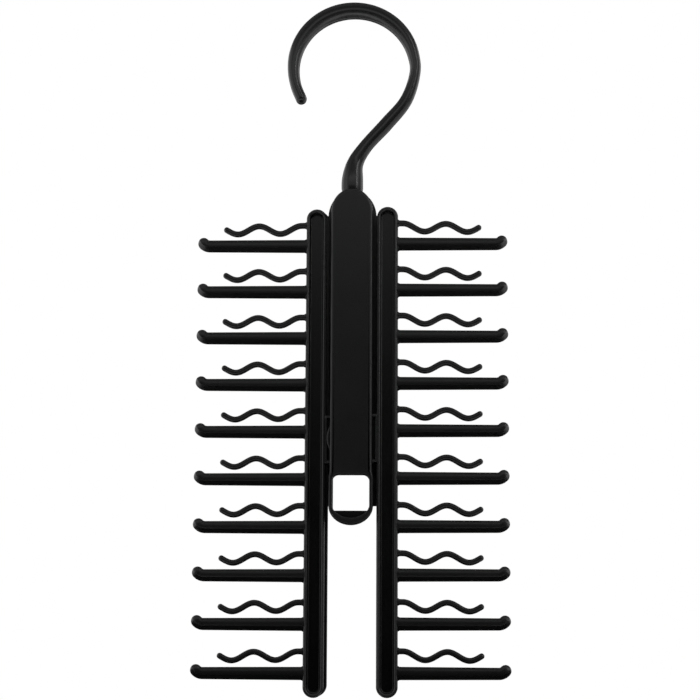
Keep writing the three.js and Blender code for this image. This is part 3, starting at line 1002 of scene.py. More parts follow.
    def window_outline(self, loop: Loop, grow: float, drop: float) -> Array:
        """Whole window: its lower corners lie on a wide circle, down to a sill or an arc below it.

        An arc that falls by a drop below a chord of half width w has the radius (w^2 + drop^2) / (2 drop).

        Args:
            loop: Levels of the window.
            grow: Distance outwards.
            drop: Fall of the arc below the sill, or 0 for a straight sill.

        Returns:
            Points round the window from the right.
        """
        half = self.window_half_width + grow
        end = self.window_end
        middle = self.window_middle(loop)
        reach = self.window_end_radius + grow
        begin = math.acos(half / reach)
        stop = math.asin((end - self.sill + grow) / reach)
        left = arc((0, end), (reach, reach), math.pi + begin, math.pi + stop, 40)
        right = arc((0, end), (reach, reach), TURN - stop, TURN - begin, 40)
        foot = line(tuple(left[-1]), tuple(right[0]), 16)
        if drop:
            chord = right[0, 0]
            radius = (chord**2 + drop**2) / (2 * drop)
            sweep = math.asin(chord / radius)
            level = self.sill - grow - drop + radius
            foot = arc((0, level), (radius, radius), 1.5 * math.pi - sweep, 1.5 * math.pi + sweep, 60)
        under = np.concatenate([
            line((-half, middle), tuple(left[0]), 8)[:-1],
            left,
            foot[1:-1],
            right,
            line(tuple(right[-1]), (half, middle), 8)[1:],
        ])
        return np.concatenate([self.window_upper(loop, grow), even(under, self.lower_steps)])

    def flat_topped(self, half: float, top: float, middle: float, under: list[Array]) -> Array:
        """Outline with straight sides and a flat top, closed by a lower path.

        Args:
            half: Half width.
            top: Level of the top.
            middle: Level at which the upper path meets the lower one.
            under: Curves of the lower path, from the left to the right.

        Returns:
            Points round the outline from the right.
        """
        upper = np.concatenate([
            line((half, middle), (half, top), 16)[:-1],
            line((half, top), (-half, top), 24)[:-1],
            line((-half, top), (-half, middle), 16),
        ])
        lower = np.concatenate([
            line((-half, middle), tuple(under[0][0]), 8)[:-1],
            *under,
            line(tuple(under[-1][-1]), (half, middle), 8)[1:],
        ])
        return np.concatenate([even(upper, self.upper_steps), even(lower, self.lower_steps)])

    def block_outline(self, loop: Loop, inset: float) -> Array:
        """Lower block between the covers: flat top, straight sides and a round lower end.

        Args:
            loop: Levels of the lower end.
            inset: Distance inwards.

        Returns:
            Points round the block from the right.
        """
        half = self.block_half_width - inset
        wide = self.loop_half - self.core_inset - inset
        fall = self.loop_foot - self.core_inset - inset
        begin = math.acos(half / wide)
        curve = arc((0, loop.bottom + self.loop_foot), (wide, fall), math.pi + begin, TURN - begin, 90)
        return self.flat_topped(half, self.block_top - inset, self.window_middle(loop), [curve])

    def back_lower_outline(self, inset: float) -> Array:
        """Rear cover's lower end: a straight top on the split, shoulders, and a round loop.

        Args:
            inset: Distance inwards, except at the split.

        Returns:
            Points round the outline from the right.
        """
        loop = self.rear_loop
        wide = self.shoulder_half - inset
        fall = self.loop_foot - inset
        bend = self.shoulder_corner
        ledge = self.shoulder_bottom + inset
        end = loop.bottom + self.loop_foot
        begin = math.asin((end - ledge) / fall)
        under = [
            arc((bend - wide, ledge + bend), (bend, bend), math.pi, 1.5 * math.pi, 10),
            arc((0, end), (self.loop_half - inset, fall), math.pi + begin, TURN - begin, 120),
            arc((wide - bend, ledge + bend), (bend, bend), 1.5 * math.pi, TURN, 10),
        ]
        return self.flat_topped(wide, self.split_z, self.window_middle(loop), under)

    def back_upper_outline(self, inset: float) -> Array:
        """Rear cover above the split: wide up to its shoulders, then a dome.

        Args:
            inset: Distance inwards, except at the split.

        Returns:
            Points round the outline from the pivot's right.
        """
        wide = self.shoulder_half - inset
        half = self.back_half - inset
        rise = self.back_crown - inset
        spring = self.back_top - self.back_crown
        ledge = self.shoulder_top - inset
        bend = self.shoulder_corner
        begin = math.asin(max(0.0, ledge - spring) / rise)
        path = np.concatenate([
            line((wide, self.pivot_z), (wide, ledge - bend), 8)[:-1],
            arc((wide - bend, ledge - bend), (bend, bend), 0, math.pi / 2, 10),
            [(half, ledge)],
            arc((0, spring), (half, rise), begin, math.pi - begin, 120),
            [(-half, ledge)],
            arc((bend - wide, ledge - bend), (bend, bend), math.pi / 2, math.pi, 10),
            line((-wide, ledge - bend), (-wide, self.split_z), 8)[1:],
            line((-wide, self.split_z), (wide, self.split_z), 8)[1:],
            line((wide, self.split_z), (wide, self.pivot_z), 8)[1:],
        ])
        return even(path, self.cover_steps)

    def front_plate(self) -> Shell:
        """Front cover: window edge, flat face and a rim that rounds off ever steeper towards the slot.

        Returns:
            The skin, a ring of sections round the window.
        """
        face, back = -self.half_depth, -self.slot
        hole = partial(self.window_outline, self.front_loop, drop=self.recess_drop)
        rim = self.plate_outline
        rows = [(hole(0), back, 0)]
        rows += [(hole(grow), face + depth, mark) for grow, depth, mark in self.front_hole]
        rows += [(rim(inset), face + depth, mark) for inset, depth, mark in self.front_rim]
        # The cover's rear side towards the slot is marked -1: painted shade.
        rows += [(rim(0), back - 0.1, -1), (rim(0.1), back, -1), (rim(0.6), back, -1), (hole(0.4), back, 0)]
        return banded(rows, closed=True)

    def block(self, loop: Loop, front: float, back: float) -> Shell:
        """Part of the lower block between two depths, with the window through it.

        Args:
            loop: Levels of this part.
            front: Front depth.
            back: Rear depth.

        Returns:
            The skin, all of it marked as a recess, so that its colour is darkened as painted shade.
        """
        hole = partial(self.window_outline, loop, drop=0.0)
        side = partial(self.block_outline, loop)
        ease, flat = self.block_ease, 0.4
        rows = [
            (hole(0), back - ease), (hole(0), front + ease), (hole(ease), front), (hole(flat), front),
            (side(flat), front), (side(ease), front), (side(0), front + ease), (side(0), back - ease),
            (side(ease), back), (side(flat), back), (hole(flat), back), (hole(ease), back),
        ]
        # Mark -1 darkens the whole block as painted shade.
        return banded([(outline, y, -1) for outline, y in rows], closed=True)

    def back_lower(self) -> Shell:
        """Rear cover's lower end round the window, up to the split under the screw.

        Returns:
            The skin.
        """
        face, inner = self.half_depth, self.slot
        hole = partial(self.window_outline, self.rear_loop, drop=0.0)
        side = self.back_lower_outline
        rows = [(hole(0), inner, 0)]
        rows += [(hole(grow), face - depth, mark) for grow, depth, mark in self.back_hole]
        rows += [(side(inset), face - depth, mark) for inset, depth, mark in self.back_rim]
        rows += [(side(0), inner + 0.12, 0), (side(0.06), inner, 0), (side(0.3), inner, 0)]
        rows += [(hole(0.25), inner, 0)]
        return banded(rows, closed=True)

    def back_upper(self) -> Shell:
        """Rear cover above the split, with a counterbored hole.

        The hole's points lie in the same directions from the pivot as those of the outline.

        Returns:
            The skin.
        """
        face, inner = self.half_depth, self.slot
        side = self.back_upper_outline
        pivot = np.array([0.0, self.pivot_z])
        away = side(0.0) - pivot
        away /= np.linalg.norm(away, axis=1)[:, None]
        counter = self.screw_head + self.running_gap
        shank = self.screw_shank + self.running_gap
        seat = face - self.counterbore
        bores = [
            (shank, inner, 0), (shank, seat, 0), (counter, seat, 0), (counter, face - 0.15, 0),
            (counter + 0.15, face, 0.5), (counter + 0.5, face, 0),
        ]
        rows = [(pivot + radius * away, y, mark) for radius, y, mark in bores]
        rows += [(side(0.8), face, 0)]
        rows += [(side(inset), face - depth, mark) for inset, depth, mark in self.back_rim]
        # The inner face towards the slot is marked -1: painted shade.
        rows += [(side(0), inner + 0.12, 0), (side(0.06), inner, -1), (side(0.3), inner, -1)]
        rows += [(pivot + (shank + 0.3) * away, inner, -1)]
        return banded(rows, closed=True)

    def hub_section(self, z: float, notch: float, facing: int) -> Array:
        """Section of the hub at a height: a box as wide as the crown there, less a half circle.

        Args:
            z: Height of the section.
            notch: Radius of the half circle, which lies on the middle plane.
            facing: -1 for the front half, 1 for the rear half.

        Returns:
            Points of the notch, then the box's four corners.
        """
        sweep = np.linspace(math.pi, 0, 24)
        rise = (z - self.top + self.crown) / (self.crown - self.core_inset)
        wide = (self.half_width - self.core_inset) * math.sqrt(1 - rise**2)
        bite = np.stack([notch * np.cos(sweep), facing * notch * np.sin(sweep)], axis=1)
        box = [(wide, 0), (wide, facing * self.slot), (-wide, facing * self.slot), (-wide, 0)]
        flat = np.concatenate([bite, box])
        return np.column_stack([flat, np.full(len(flat), z)])

    def hub_half(self, facing: int) -> list[Shell]:
        """Half of the hub: a floor, and walls with a half-round pocket and bore for the hook's foot.

        Args:
            facing: -1 for the front half, 1 for the rear half.

        Returns:
            Two closed skins.
        """
        floor = [(self.hub_bottom, 0.0), (self.pocket_bottom, 0.0)]
        walls = [(self.pocket_bottom, self.pocket_radius), (self.pocket_top, self.pocket_radius)]
        walls += [(z, self.bore_radius) for z in np.linspace(self.pocket_top, self.hub_seat, 6)]
        levels = (np.stack([self.hub_section(*level, facing) for level in part]) for part in (floor, walls))
        return [self.column(sections) for sections in levels]

    @staticmethod
    def column(sections: Array) -> Shell:
        """Upright column of sections with a notch.

        Each end is closed by its own section drawn to the outer side of the box, so that nothing overlaps.

        Args:
            sections: Points by level, place and axis; the last four of a level are its box corners.

        Returns:
            The closed skin.
        """
        lids = sections[[0, -1]]
        lids[..., 1] = lids[:, -3:-1, 1].mean(axis=1, keepdims=True)
        whole = np.concatenate([lids[:1], sections, lids[1:]])
        return lattice(whole, np.zeros(len(whole)), closed=False)

    def boss(self) -> Shell:
        """Pivot boss on the front cover, bored for the screw.

        Returns:
            The skin.
        """
        shank = self.screw_shank + self.running_gap
        end = self.slot - self.running_gap
        radius, ease = self.boss_radius, self.boss_ease
        profile = [
            (0.0, -self.slot), (radius, -self.slot), (radius, end - ease), (radius - ease, end), (shank, end),
            (shank, self.boss_floor), (0.0, self.boss_floor),
        ]
        return turned(profile, self.pivot_z)

    def washer(self) -> Shell:
        """Flat friction washer round the boss.

        Returns:
            The skin.
        """
        bore = self.boss_radius + self.running_gap
        half, outer = self.washer_half, self.washer_radius
        return turned([(bore, -half), (outer, -half), (outer, half), (bore, half)], self.pivot_z)

    def screw(self) -> Shell:
        """Flat-headed screw: the head's face is a polar grid that sinks inside a cross.

        A point sinks by the recess depth times a short ramp of how far it lies inside the nearer arm.

        Returns:
            One closed skin.
        """
        top = self.half_depth - 0.2
        seat = top - 1.5
        bevel = 0.25
        reach = self.screw_head * 0.62
        half_arm = self.screw_head * 0.15
        sink, slope = 0.8, 0.16
        angle = np.linspace(0, TURN, 128, endpoint=False)
        radius = np.linspace(0, self.screw_head - bevel, 40)
        x = radius[:, None] * np.cos(angle)
        z = radius[:, None] * np.sin(angle)

        def inside(along: Array, across: Array) -> Array:
            """From 0 outside one arm of the cross to 1 well inside it."""
            gap = np.minimum(reach - np.abs(along), half_arm - np.abs(across))
            return np.clip(gap / slope + 0.5, 0, 1)

        depth = top - sink * np.maximum(inside(x, z), inside(z, x))
        face = np.stack([x, depth, self.pivot_z + z], axis=-1)
        rest = np.array([
            (self.screw_head, top - bevel), (self.screw_head, seat), (self.screw_shank, seat),
            (self.screw_shank, -2.9), (0.4, -3.5), (0.0, -3.5),
        ])
        r, y = rest.T[:, :, None]
        below = np.broadcast_arrays(r * np.cos(angle), y, self.pivot_z + r * np.sin(angle))
        whole = np.concatenate([face, np.stack(below, axis=-1)])
        return lattice(whole, np.zeros(len(whole)), closed=False)

    def build(self, palette: Palette) -> None:
        """Covers, blocks, hub, pivot boss, screw and washer.

        Args:
            palette: The finishes.
        """
        front, rear = self.front_loop, self.rear_loop
        pieces = (
            ("front_cover_plate", [self.front_plate()], Slot.SATIN, "front_cover"),
            ("front_cover_sill", [self.block(front, -self.slot, self.loop_step)], Slot.SATIN),
            ("front_cover_stop", [self.block(rear, self.loop_step, 0.0)], Slot.SATIN),
            ("front_cover_hub", self.hub_half(-1), Slot.SATIN),
            ("back_cover_upper", [self.back_upper()], Slot.SATIN, "back_cover"),
            ("back_cover_loop", [self.back_lower()], Slot.SATIN),
            ("back_cover_sill", [self.block(rear, 0.0, self.slot)], Slot.SATIN),
            ("back_cover_hub", self.hub_half(1), Slot.SATIN),
            ("pivot_boss", [self.boss()], Slot.SATIN),
            ("pivot_screw_head", [self.screw()], Slot.STEEL, "pivot_screw"),
            ("friction_washer", [self.washer()], Slot.NYLON, "pivot_washer"),
        )
        for name, shells, slot, *nodes in pieces:
            add_piece(name, shells, palette, slot, Body.BAR, *nodes)


@dataclass(frozen=True)
class Arm:
    """One comb arm: a channelled rail with a pivot ear, ten straight bars and ten wavy fingers.

    Attributes:
        name: left or right, as in the frame's nodes.
        side: -1 on the left, 1 on the right.
        front: Front depth of the rail.
        back: Rear depth of the rail.
        width: Rim to rim width of the rail.
        lip: Width of the ledge along the rail's inner side.
        body: Body that the arm is.
        rim: Width of the rail's rim.
        lip_set_back: Depth of the ledge behind the rail's front.
        bar_slope: Level and reach of the flat on a bar's lower front.
        back_edge, lip_edge, rim_edge, floor_edge: Edges of the rail as distance from its outline, depth from
        its back, ledge, front or channel floor, and mark; marks above 0 lighten the rims, partly as a painted
        highlight, and marks below 0 darken the ledge, walls and channel floor as painted shade.
    """

    name: str
    side: int
    front: float
    back: float
    width: float
    lip: float
    body: Body
    outer_x: float = 22.2
    rail_top: float = -97.0
    rail_bottom: float = -331.7
    rim: float = 2.0
    floor: float = 1.5
    lip_set_back: float = 2.2
    lip_end: float = 0.6
    ear_radius: float = 11.6
    ear_rim: float = 1.5
    ear_floor: float = 1.8
    ear_sink: float = 0.3
    ear_hub: float = 7.6
    ear_steps: int = 240
    pivot_z: float = -210.2
    pivot_bore: float = 4.8
    rows: int = 10
    pitch: float = 22.8
    first_bar: float = -115.2
    bar_root: float = 3.05
    bar_tip: float = 2.8
    bar_depth: float = 2.05
    bar_slope: Pair = (-0.3, 0.7)
    bar_run: float = 47.0
    bend_radius: float = 4.1
    bend_degrees: float = 47.0
    finger_lift: float = 10.2
    finger_half: float = 1.4
    finger_depth: float = 1.8
    finger_reach: float = 38.9
    finger_flat: float = 2.5
    finger_half_wave: float = 10.3
    finger_swing: float = 3.95
    finger_sink: float = 0.011
    root_flare: float = 0.5
    root_reach: float = 1.1
    root_sink: float = 0.5
    back_edge: tuple[Triple, ...] = ((0.9, 0, 0), (0.45, 0.08, 0.3), (0.13, 0.3, 0.3), (0, 0.7, 0))
    # Marks below 0 on the ledge's inner part: painted shade in the gap beside the cover.
    lip_edge: tuple[Triple, ...] = (
        (0, 0.5, 0.2), (0.1, 0.2, 0.7), (0.3, 0.04, 0.7), (0.55, 0, -0.3), (0.9, 0, -1),
    )
    # Marks up to 1 across the rim: a lighter rubbed line that also paints the rim's highlight.
    rim_edge: tuple[Triple, ...] = (
        (0, 1.3, 0), (0.06, 0.95, 0.3), (0.2, 0.6, 0.8), (0.45, 0.28, 1), (0.75, 0.08, 1), (1.0, 0, 0.8),
        (1.25, 0.06, 1), (1.5, 0.22, 0.8), (1.72, 0.45, 0.4), (1.88, 0.75, 0),
    )
    # Marks -1 on the drafted walls and channel floor: painted shade.
    floor_edge: tuple[Triple, ...] = ((2.1, 0.45, -1), (2.2, 0.15, -1), (2.5, 0, -1), (2.9, 0, -1))

    @property
    def middle_y(self) -> float:
        """Depth of the arm's middle plane."""
        return (self.front + self.back) / 2

    @property
    def inner_x(self) -> float:
        """Distance of the rail's inner side from the middle of the hanger."""
        return self.outer_x - self.width

    def rail(self) -> Shell:
        """Channel with round ends: back, sides, two rounded rims, drafted walls and floor as bar outlines.

        Where the arm has a lip, the outlines behind its set-back are wider on the inner side.

        Returns:
            The skin; its first and last rings close on the rail's middle line.
        """
        half = self.width / 2
        narrow = Stadium(self.side * (self.inner_x + half), self.rail_top, self.rail_bottom, half)
        wide = narrow
        if self.lip:
            broad = half + self.lip / 2
            top, bottom = self.rail_top - self.lip_end, self.rail_bottom + self.lip_end
            wide = Stadium(self.side * (self.inner_x - self.lip + broad), top, bottom, broad)
        ledge = self.front + self.lip_set_back
        deep = self.back - self.floor
        rows = [(wide.ring(wide.half), self.back, 0)]
        rows += [(wide.ring(inset), self.back - depth, mark) for inset, depth, mark in self.back_edge]
        if self.lip:
            rows += [(wide.ring(inset), ledge + depth, mark) for inset, depth, mark in self.lip_edge]
            # The ledge's side is marked -1: painted shade.
            rows += [(narrow.ring(0.12), ledge - 0.02, -1), (narrow.ring(0.02), ledge - 0.25, -1)]
        rows += [(narrow.ring(inset), self.front + depth, mark) for inset, depth, mark in self.rim_edge]
        # Walls and channel floor carry marks of -1: painted shade.
        rows += [(narrow.ring(inset), deep - depth, mark) for inset, depth, mark in self.floor_edge]
        rows += [(narrow.ring(half), deep, -1)]
        return banded(rows, closed=False)

    def round_pivot(self, radius: Array | float) -> Array:
        """Points at a distance from the pivot in each direction of the ear."""
        angle = np.linspace(0, TURN, self.ear_steps, endpoint=False)
        return np.stack([radius * np.cos(angle), self.pivot_z + radius * np.sin(angle)], axis=1)

    def ear_outline(self, inset: float, reach: float) -> Array:
        """Outline of the ear, half a disc and a tongue, cut by rays from the pivot.

        On the tongue's half a ray ends at the nearer of the tongue's edges and its end, and on the other
        half at the disc.

        Args:
            inset: Distance inwards.
            reach: Length of the tongue.

        Returns:
            Points round the outline.
        """
        angle = np.linspace(0, TURN, self.ear_steps, endpoint=False)
        ahead = self.side * np.cos(angle)
        radius = self.ear_radius - inset
        edge = radius / np.maximum(np.abs(np.sin(angle)), TINY)
        end = reach / np.maximum(ahead, TINY)
        return self.round_pivot(np.where(ahead > 0, np.minimum(edge, end), radius))

    def ear(self) -> Shell:
        """Pivot ear with a rim, a pocket and a hub round the bore.

        Returns:
            The skin, a ring of sections round the bore.
        """
        circle, outline = self.round_pivot, self.ear_outline
        bore, hub, rim, back = self.pivot_bore, self.ear_hub, self.ear_rim, self.back
        top = self.front + self.ear_sink
        deep = back - self.ear_floor
        tongue = self.inner_x + self.rim / 2
        pocket = self.inner_x - rim / 2
        # Marks: the hub and pocket are darkened as painted shade; the rim is lightened, partly as a painted
        # highlight.
        rows = [
            (circle(bore), back, 0), (circle(bore), top + 0.15, 0), (circle(bore + 0.15), top, -0.5),
            (circle(hub - 0.2), top, -0.5), (circle(hub), top + 0.2, -0.5), (circle(hub + 0.05), deep, -1),
            (outline(rim, pocket), deep, -1), (outline(rim - 0.08, pocket + 0.05), top + 0.45, -1),
            (outline(rim - 0.2, pocket + 0.1), top + 0.18, 0.6),
            (outline(rim - 0.45, pocket + 0.2), top, 0.8),
            (outline(0.45, tongue), top, 0.8), (outline(0.15, tongue), top + 0.18, 0.8),
            (outline(0, tongue), top + 0.5, 0.2), (outline(0, tongue), back - 0.2, 0),
            (outline(0.2, tongue), back, 0), (circle(bore + 0.4), back, 0),
        ]
        return banded(rows, closed=True)

    def rod(self, along: Array, rise: Array, turns: Array, halves: Array, depth: float) -> Rod:
        """Rod that leads out of the rail.

        At its root it flares by the square of what is left of a short reach.

        Args:
            along: Distances out of the rail.
            rise: Heights of the stations.
            turns: Climb of the path at each station, in radians.
            halves: Half thicknesses without the flare.
            depth: Half thickness in depth.

        Returns:
            The stations.
        """
        centres = np.stack([self.side * (self.outer_x + along), rise], axis=1)
        headings = turns if self.side > 0 else math.pi - turns
        flare = self.root_flare * np.clip(1 - np.maximum(along, 0) / self.root_reach, 0, 1) ** 2
        return Rod(centres, headings, halves + flare, np.full(len(along), depth))

    def bar(self, z: float) -> Shell:
        """Straight bar that tapers from the rail, turns up along an arc and ends in a ball.

        Args:
            z: Height of its middle line at the rail.

        Returns:
            The closed rod.
        """
        root = np.linspace(0, self.root_reach, 8)
        straight = np.concatenate([[-self.root_sink], root, np.linspace(3, self.bar_run, 16)])
        turn = np.radians(np.linspace(0, self.bend_degrees, 13))[1:]
        level = np.zeros(len(straight))
        along = np.concatenate([straight, self.bar_run + self.bend_radius * np.sin(turn)])
        rise = np.concatenate([level, self.bend_radius * (1 - np.cos(turn))])
        share = np.clip(along / self.bar_run, 0, 1)
        halves = self.bar_root + (self.bar_tip - self.bar_root) * share
        rod = self.rod(along, z + rise, np.concatenate([level, turn]), halves, self.bar_depth).with_ball(10)
        # The mark rises towards the tip: a lighter rubbed end that also paints the tip's highlight.
        marks = np.clip((np.arange(len(rod.halves)) - len(along) + 4) / 8, 0, 0.6)
        return rod.skin(self.middle_y, sides=48, power=2.4, edge=marks, slope=self.bar_slope)

    def finger(self, z: float) -> Shell:
        """Wavy grip finger: its middle line is a cosine wave after a flat root, sinking slowly.

        Args:
            z: Height of its middle line at the rail.

        Returns:
            The closed rod.
        """
        root = np.linspace(0, self.root_reach, 6)
        along = np.concatenate([[-self.root_sink], root, np.linspace(2, self.finger_reach, 72)])
        out = np.maximum(along, 0)
        phase = math.pi * np.maximum(0, out - self.finger_flat) / self.finger_half_wave
        rise = -0.5 * self.finger_swing * (1 - np.cos(phase)) - self.finger_sink * out
        turns = np.arctan(np.gradient(rise, along))
        turns[:2] = 0
        halves = np.full(len(along), self.finger_half)
        rod = self.rod(along, z + rise, turns, halves, self.finger_depth).with_ball(8)
        return rod.skin(self.middle_y, sides=28, power=2.5, edge=np.full(len(rod.halves), 0.25))

    def build(self, palette: Palette) -> None:
        """Rail, ear, bars and fingers.

        Args:
            palette: The finishes.
        """
        pieces = [("channel", self.rail(), "rail"), ("ear", self.ear())]
        for row in range(self.rows):
            z = self.first_bar - row * self.pitch
            number = f"{row + 1:02d}"
            pieces.append((f"bar_rod_{number}", self.bar(z), f"bar_{number}"))
            pieces.append((f"finger_rod_{number}", self.finger(z + self.finger_lift), f"finger_{number}"))
        for name, shell, *nodes in pieces:
            whole = (f"{self.name}_{node}" for node in nodes)
            add_piece(f"{self.name}_{name}", [shell], palette, Slot.ARM, self.body, *whole)


@dataclass(frozen=True)
class Viewpoint:
    """The photograph's camera.

    Attributes:
        target: Point at the middle of the picture.
        azimuth: Degrees round the object, to the right.
        elevation: Degrees above the horizon.
        distance: From the target.
        lens: Focal length for the sensor.
        sensor: Width of the sensor.
        clip: Nearest and farthest distance shown, in metres.
        roll: Degrees that the picture's content is turned clockwise.
    """

    target: Triple = (-0.8, 0.0, -167.0)
    azimuth: float = 1.2
    elevation: float = -11.1
    distance: float = 1000.0
    lens: float = 107.24
    sensor: float = 36.0
    clip: Pair = (0.05, 50.0)
    roll: float = 0.3

    def build(self) -> None:
        """Places the camera and makes it the scene's own."""
        turn, tilt = math.radians(self.azimuth), math.radians(self.elevation)
        away = Vector((math.sin(turn) * math.cos(tilt), -math.cos(turn) * math.cos(tilt), math.sin(tilt)))
        data = bpy.data.cameras.new("photo camera")
        data.lens = self.lens
        data.sensor_width = self.sensor
        data.clip_start, data.clip_end = self.clip
        camera = link_object("photo camera", data)
        camera.location = (Vector(self.target) + away * self.distance) * METRES
        camera.rotation_mode = "QUATERNION"
        level = (-away).to_track_quat("-Z", "Y")
        camera.rotation_quaternion = level @ Quaternion((0, 0, 1), math.radians(self.roll))
        bpy.context.scene.camera = camera


@dataclass(frozen=True)
class Screen:
    """Curved or conical screen that only reflections see.

    Attributes:
        name: Name of the screen.
        radii: Distance from the object at its foot and top.
        turns: First and last direction in degrees, from +X towards +Y.
        heights: Foot and top.
        glow: Strength at the foot and at the top.
        stops: Place from -1 on the left to 1 on the right, and a factor of the glow there.
    """

    name: str
    radii: Pair
    turns: Pair
    heights: Pair
    glow: Pair
    stops: tuple[Pair, ...] = ((0.0, 1.0),)
    steps: int = 64

    def mesh(self) -> bpy.types.Mesh:
        """The bare strip: an arc at its foot joined to one at its top.

        Returns:
            The mesh.
        """
        turn = np.radians(np.linspace(*self.turns, self.steps))
        radius, height = np.array(self.radii)[:, None], np.array(self.heights)[:, None]
        rows = np.broadcast_arrays(radius * np.cos(turn), radius * np.sin(turn), height)
        place = np.arange(self.steps - 1)
        faces = np.stack([place, place + 1, place + 1 + self.steps, place + self.steps], axis=1)
        made = bpy.data.meshes.new(self.name)
        made.from_pydata(np.stack(rows, axis=-1).reshape(-1, 3).tolist(), [], faces.tolist())
        return made

    def material(self) -> Material:
        """Glow that follows the stops from left to right, times a factor from foot to top.

        Returns:
            The material.
        """
        made, nodes, surface = new_material(self.name)
        split = nodes.add("ShaderNodeSeparateXYZ", {"Vector": nodes.place()}).outputs
        reach = self.radii[0]
        across = nodes.add("ShaderNodeMapRange", {"Value": split["X"], "From Min": -reach, "From Max": reach})
        ramp = nodes.add("ShaderNodeValToRGB", {"Fac": across.outputs["Result"]})
        shades = ramp.color_ramp.elements
        shades.remove(shades[1])
        for x, level in self.stops:
            shades.new((x + 1) / 2).color = (level, level, level, 1)
        shades.remove(shades[0])
        climb = nodes.add("ShaderNodeMapRange", {
            "Value": split["Z"], "From Min": self.heights[0], "From Max": self.heights[1],
            "To Min": self.glow[0], "To Max": self.glow[1],
        })
        light = {"Color": ramp.outputs["Color"], "Strength": climb.outputs["Result"]}
        nodes.feed(nodes.add("ShaderNodeEmission", light).outputs[0], surface)
        return made

    def build(self) -> None:
        """Sets the screen up, out of sight of all but reflections."""
        piece = link_object(self.name, self.mesh())
        piece.data.materials.append(self.material())
        piece.visible_camera = False
        piece.visible_diffuse = False
        piece.visible_shadow = False
        piece.visible_transmission = False


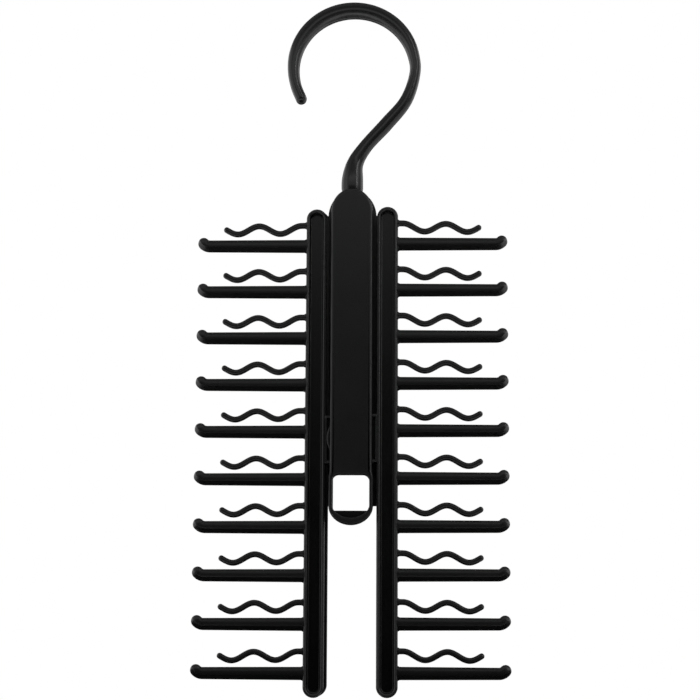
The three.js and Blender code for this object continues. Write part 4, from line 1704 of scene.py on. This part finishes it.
@dataclass(frozen=True)
class Studio:
    """Pale floor, white surroundings, soft lamps, and screens for the reflections.

    Attributes:
        floor_z: Height of the floor.
        floor_size: Length of its sides.
        floor_colour: Linear grey of the floor.
        ambient: Strength of the surroundings for plain shading.
        wall_stops: Place from left to right and glow of the far side walls.
        aim: Point that the lamps face.
    """

    floor_z: float = -0.47
    floor_size: float = 12.0
    floor_colour: float = 0.86
    ambient: float = 0.7
    wall_stops: tuple[Pair, ...] = (
        (-1.0, 0.6), (-0.88, 0.85), (-0.73, 0.5), (-0.5, 0.2), (-0.25, 0.03), (0.25, 0.03), (0.5, 0.12),
        (0.75, 0.6), (0.9, 0.7), (1.0, 0.3),
    )
    aim: Triple = (0.0, 0.0, -0.17)

    def surroundings(self) -> None:
        """White world: full strength to camera, gloss and clear pieces, weaker where it lights."""
        world = bpy.data.worlds.new("white studio")
        world.use_nodes = True
        nodes = Nodes(world.node_tree)
        path = nodes.add("ShaderNodeLightPath").outputs
        shown = nodes.math("MAXIMUM", path["Is Camera Ray"], path["Is Glossy Ray"])
        shown = nodes.math("MAXIMUM", shown, path["Is Transmission Ray"])
        strength = nodes.math("ADD", nodes.math("MULTIPLY", shown, 1 - self.ambient), self.ambient)
        light = nodes.add("ShaderNodeBackground", {"Color": (1, 1, 1, 1), "Strength": strength})
        nodes.add("ShaderNodeOutputWorld", {"Surface": light.outputs[0]})
        bpy.context.scene.world = world

    def floor(self) -> None:
        """Pale floor, seen from above only."""
        mesh = bpy.data.meshes.new("floor")
        half = self.floor_size / 2
        corners = [(x * half, y * half, self.floor_z) for x, y in ((-1, -1), (1, -1), (1, 1), (-1, 1))]
        mesh.from_pydata(corners, [], [(0, 1, 2, 3)])
        made, nodes, surface = new_material("pale floor")
        grey = self.floor_colour
        pale = nodes.add("ShaderNodeBsdfDiffuse", {"Color": (grey, grey, grey, 1)})
        clear = nodes.add("ShaderNodeBsdfTransparent")
        behind = nodes.add("ShaderNodeNewGeometry").outputs["Backfacing"]
        pick = nodes.add("ShaderNodeMixShader", {"Fac": behind})
        nodes.feed(pale.outputs[0], pick.inputs[1])
        nodes.feed(clear.outputs[0], pick.inputs[2])
        nodes.feed(pick.outputs[0], surface)
        floor = link_object("floor", mesh)
        floor.data.materials.append(made)

    def lamp(self, name: str, place: Triple, size: Pair, power: float, in_gloss: bool) -> None:
        """Soft rectangular lamp that faces the object.

        Args:
            name: Name of the lamp.
            place: Position.
            size: Width and height.
            power: Power in watts.
            in_gloss: Whether reflections show the lamp.
        """
        data = bpy.data.lights.new(name, "AREA")
        data.shape = "RECTANGLE"
        data.size, data.size_y = size
        data.energy = power
        lamp = link_object(name, data)
        lamp.visible_glossy = in_gloss
        facing = (Vector(self.aim) - Vector(place)).to_track_quat("-Z", "Y")
        lamp.matrix_world = Matrix.Translation(Vector(place)) @ facing.to_matrix().to_4x4()

    def build(self) -> None:
        """Floor, surroundings, screens and lamps."""
        self.surroundings()
        self.floor()
        foot = self.floor_z + 0.002
        far, near = (2.2, 2.2), (0.55, 0.55)
        ahead = (-125, -62)
        under = (-0.346, -0.342)
        screens = (
            Screen("left wall", far, (-190, -125), (foot, 1.4), (1.2, 1.1), self.wall_stops),
            Screen("right wall", far, (-62, 10), (foot, 1.4), (0.3, 1.8), self.wall_stops),
            Screen("front wall", far, ahead, (foot, 1.4), (0.005, 0.15)),
            Screen("front card foot", near, ahead, (foot, -0.1), (0.003, 0.003)),
            Screen("front card", near, ahead, (-0.1, 0.04), (0.005, 0.2)),
            Screen("front card middle", near, ahead, (0.04, 0.14), (0.2, 1.0)),
            Screen("front card upper", near, ahead, (0.14, 0.26), (1.0, 0.12)),
            Screen("front card top", near, ahead, (0.26, 0.8), (0.12, 0.12)),
            Screen("mat", (0.13, 0.01), (180, 360), under, (0.01, 0.01)),
            Screen("rear mat", (0.3, 0.01), (0, 180), under, (0.01, 0.01)),
            Screen("front mat", (0.6, 2.2), (-150, -30), (foot, foot + 0.004), (0.005, 0.005)),
            Screen("rear bay", (0.6, 0.6), (62, 118), (foot, 0.9), (0.03, 0.03)),
            Screen("roof", (2.3, 0.01), (0, 360), (1.4, 2.0), (0.25, 0.25)),
        )
        for screen in screens:
            screen.build()
        self.lamp("top lamp", (-0.3, -0.7, 1.3), (1.2, 0.8), 8.0, in_gloss=False)
        self.lamp("right strip", (1.2, -1.2, 0.65), (0.16, 1.2), 3.0, in_gloss=True)


def main() -> None:
    """Builds camera, studio and every sub-assembly, in order."""
    logging.basicConfig(level=logging.INFO, format="%(name)s: %(message)s")
    bpy.context.scene.view_settings.view_transform = "Standard"
    Viewpoint().build()
    Studio().build()
    palette = make_palette()
    SwivelHook().build(palette)
    CentreBar().build(palette)
    Arm("left", side=-1, front=0.3, back=4.5, width=9.95, lip=1.35, body=Body.LEFT).build(palette)
    Arm("right", side=1, front=-4.5, back=-0.3, width=10.15, lip=0.0, body=Body.RIGHT).build(palette)


if __name__ == "__main__":
    main()
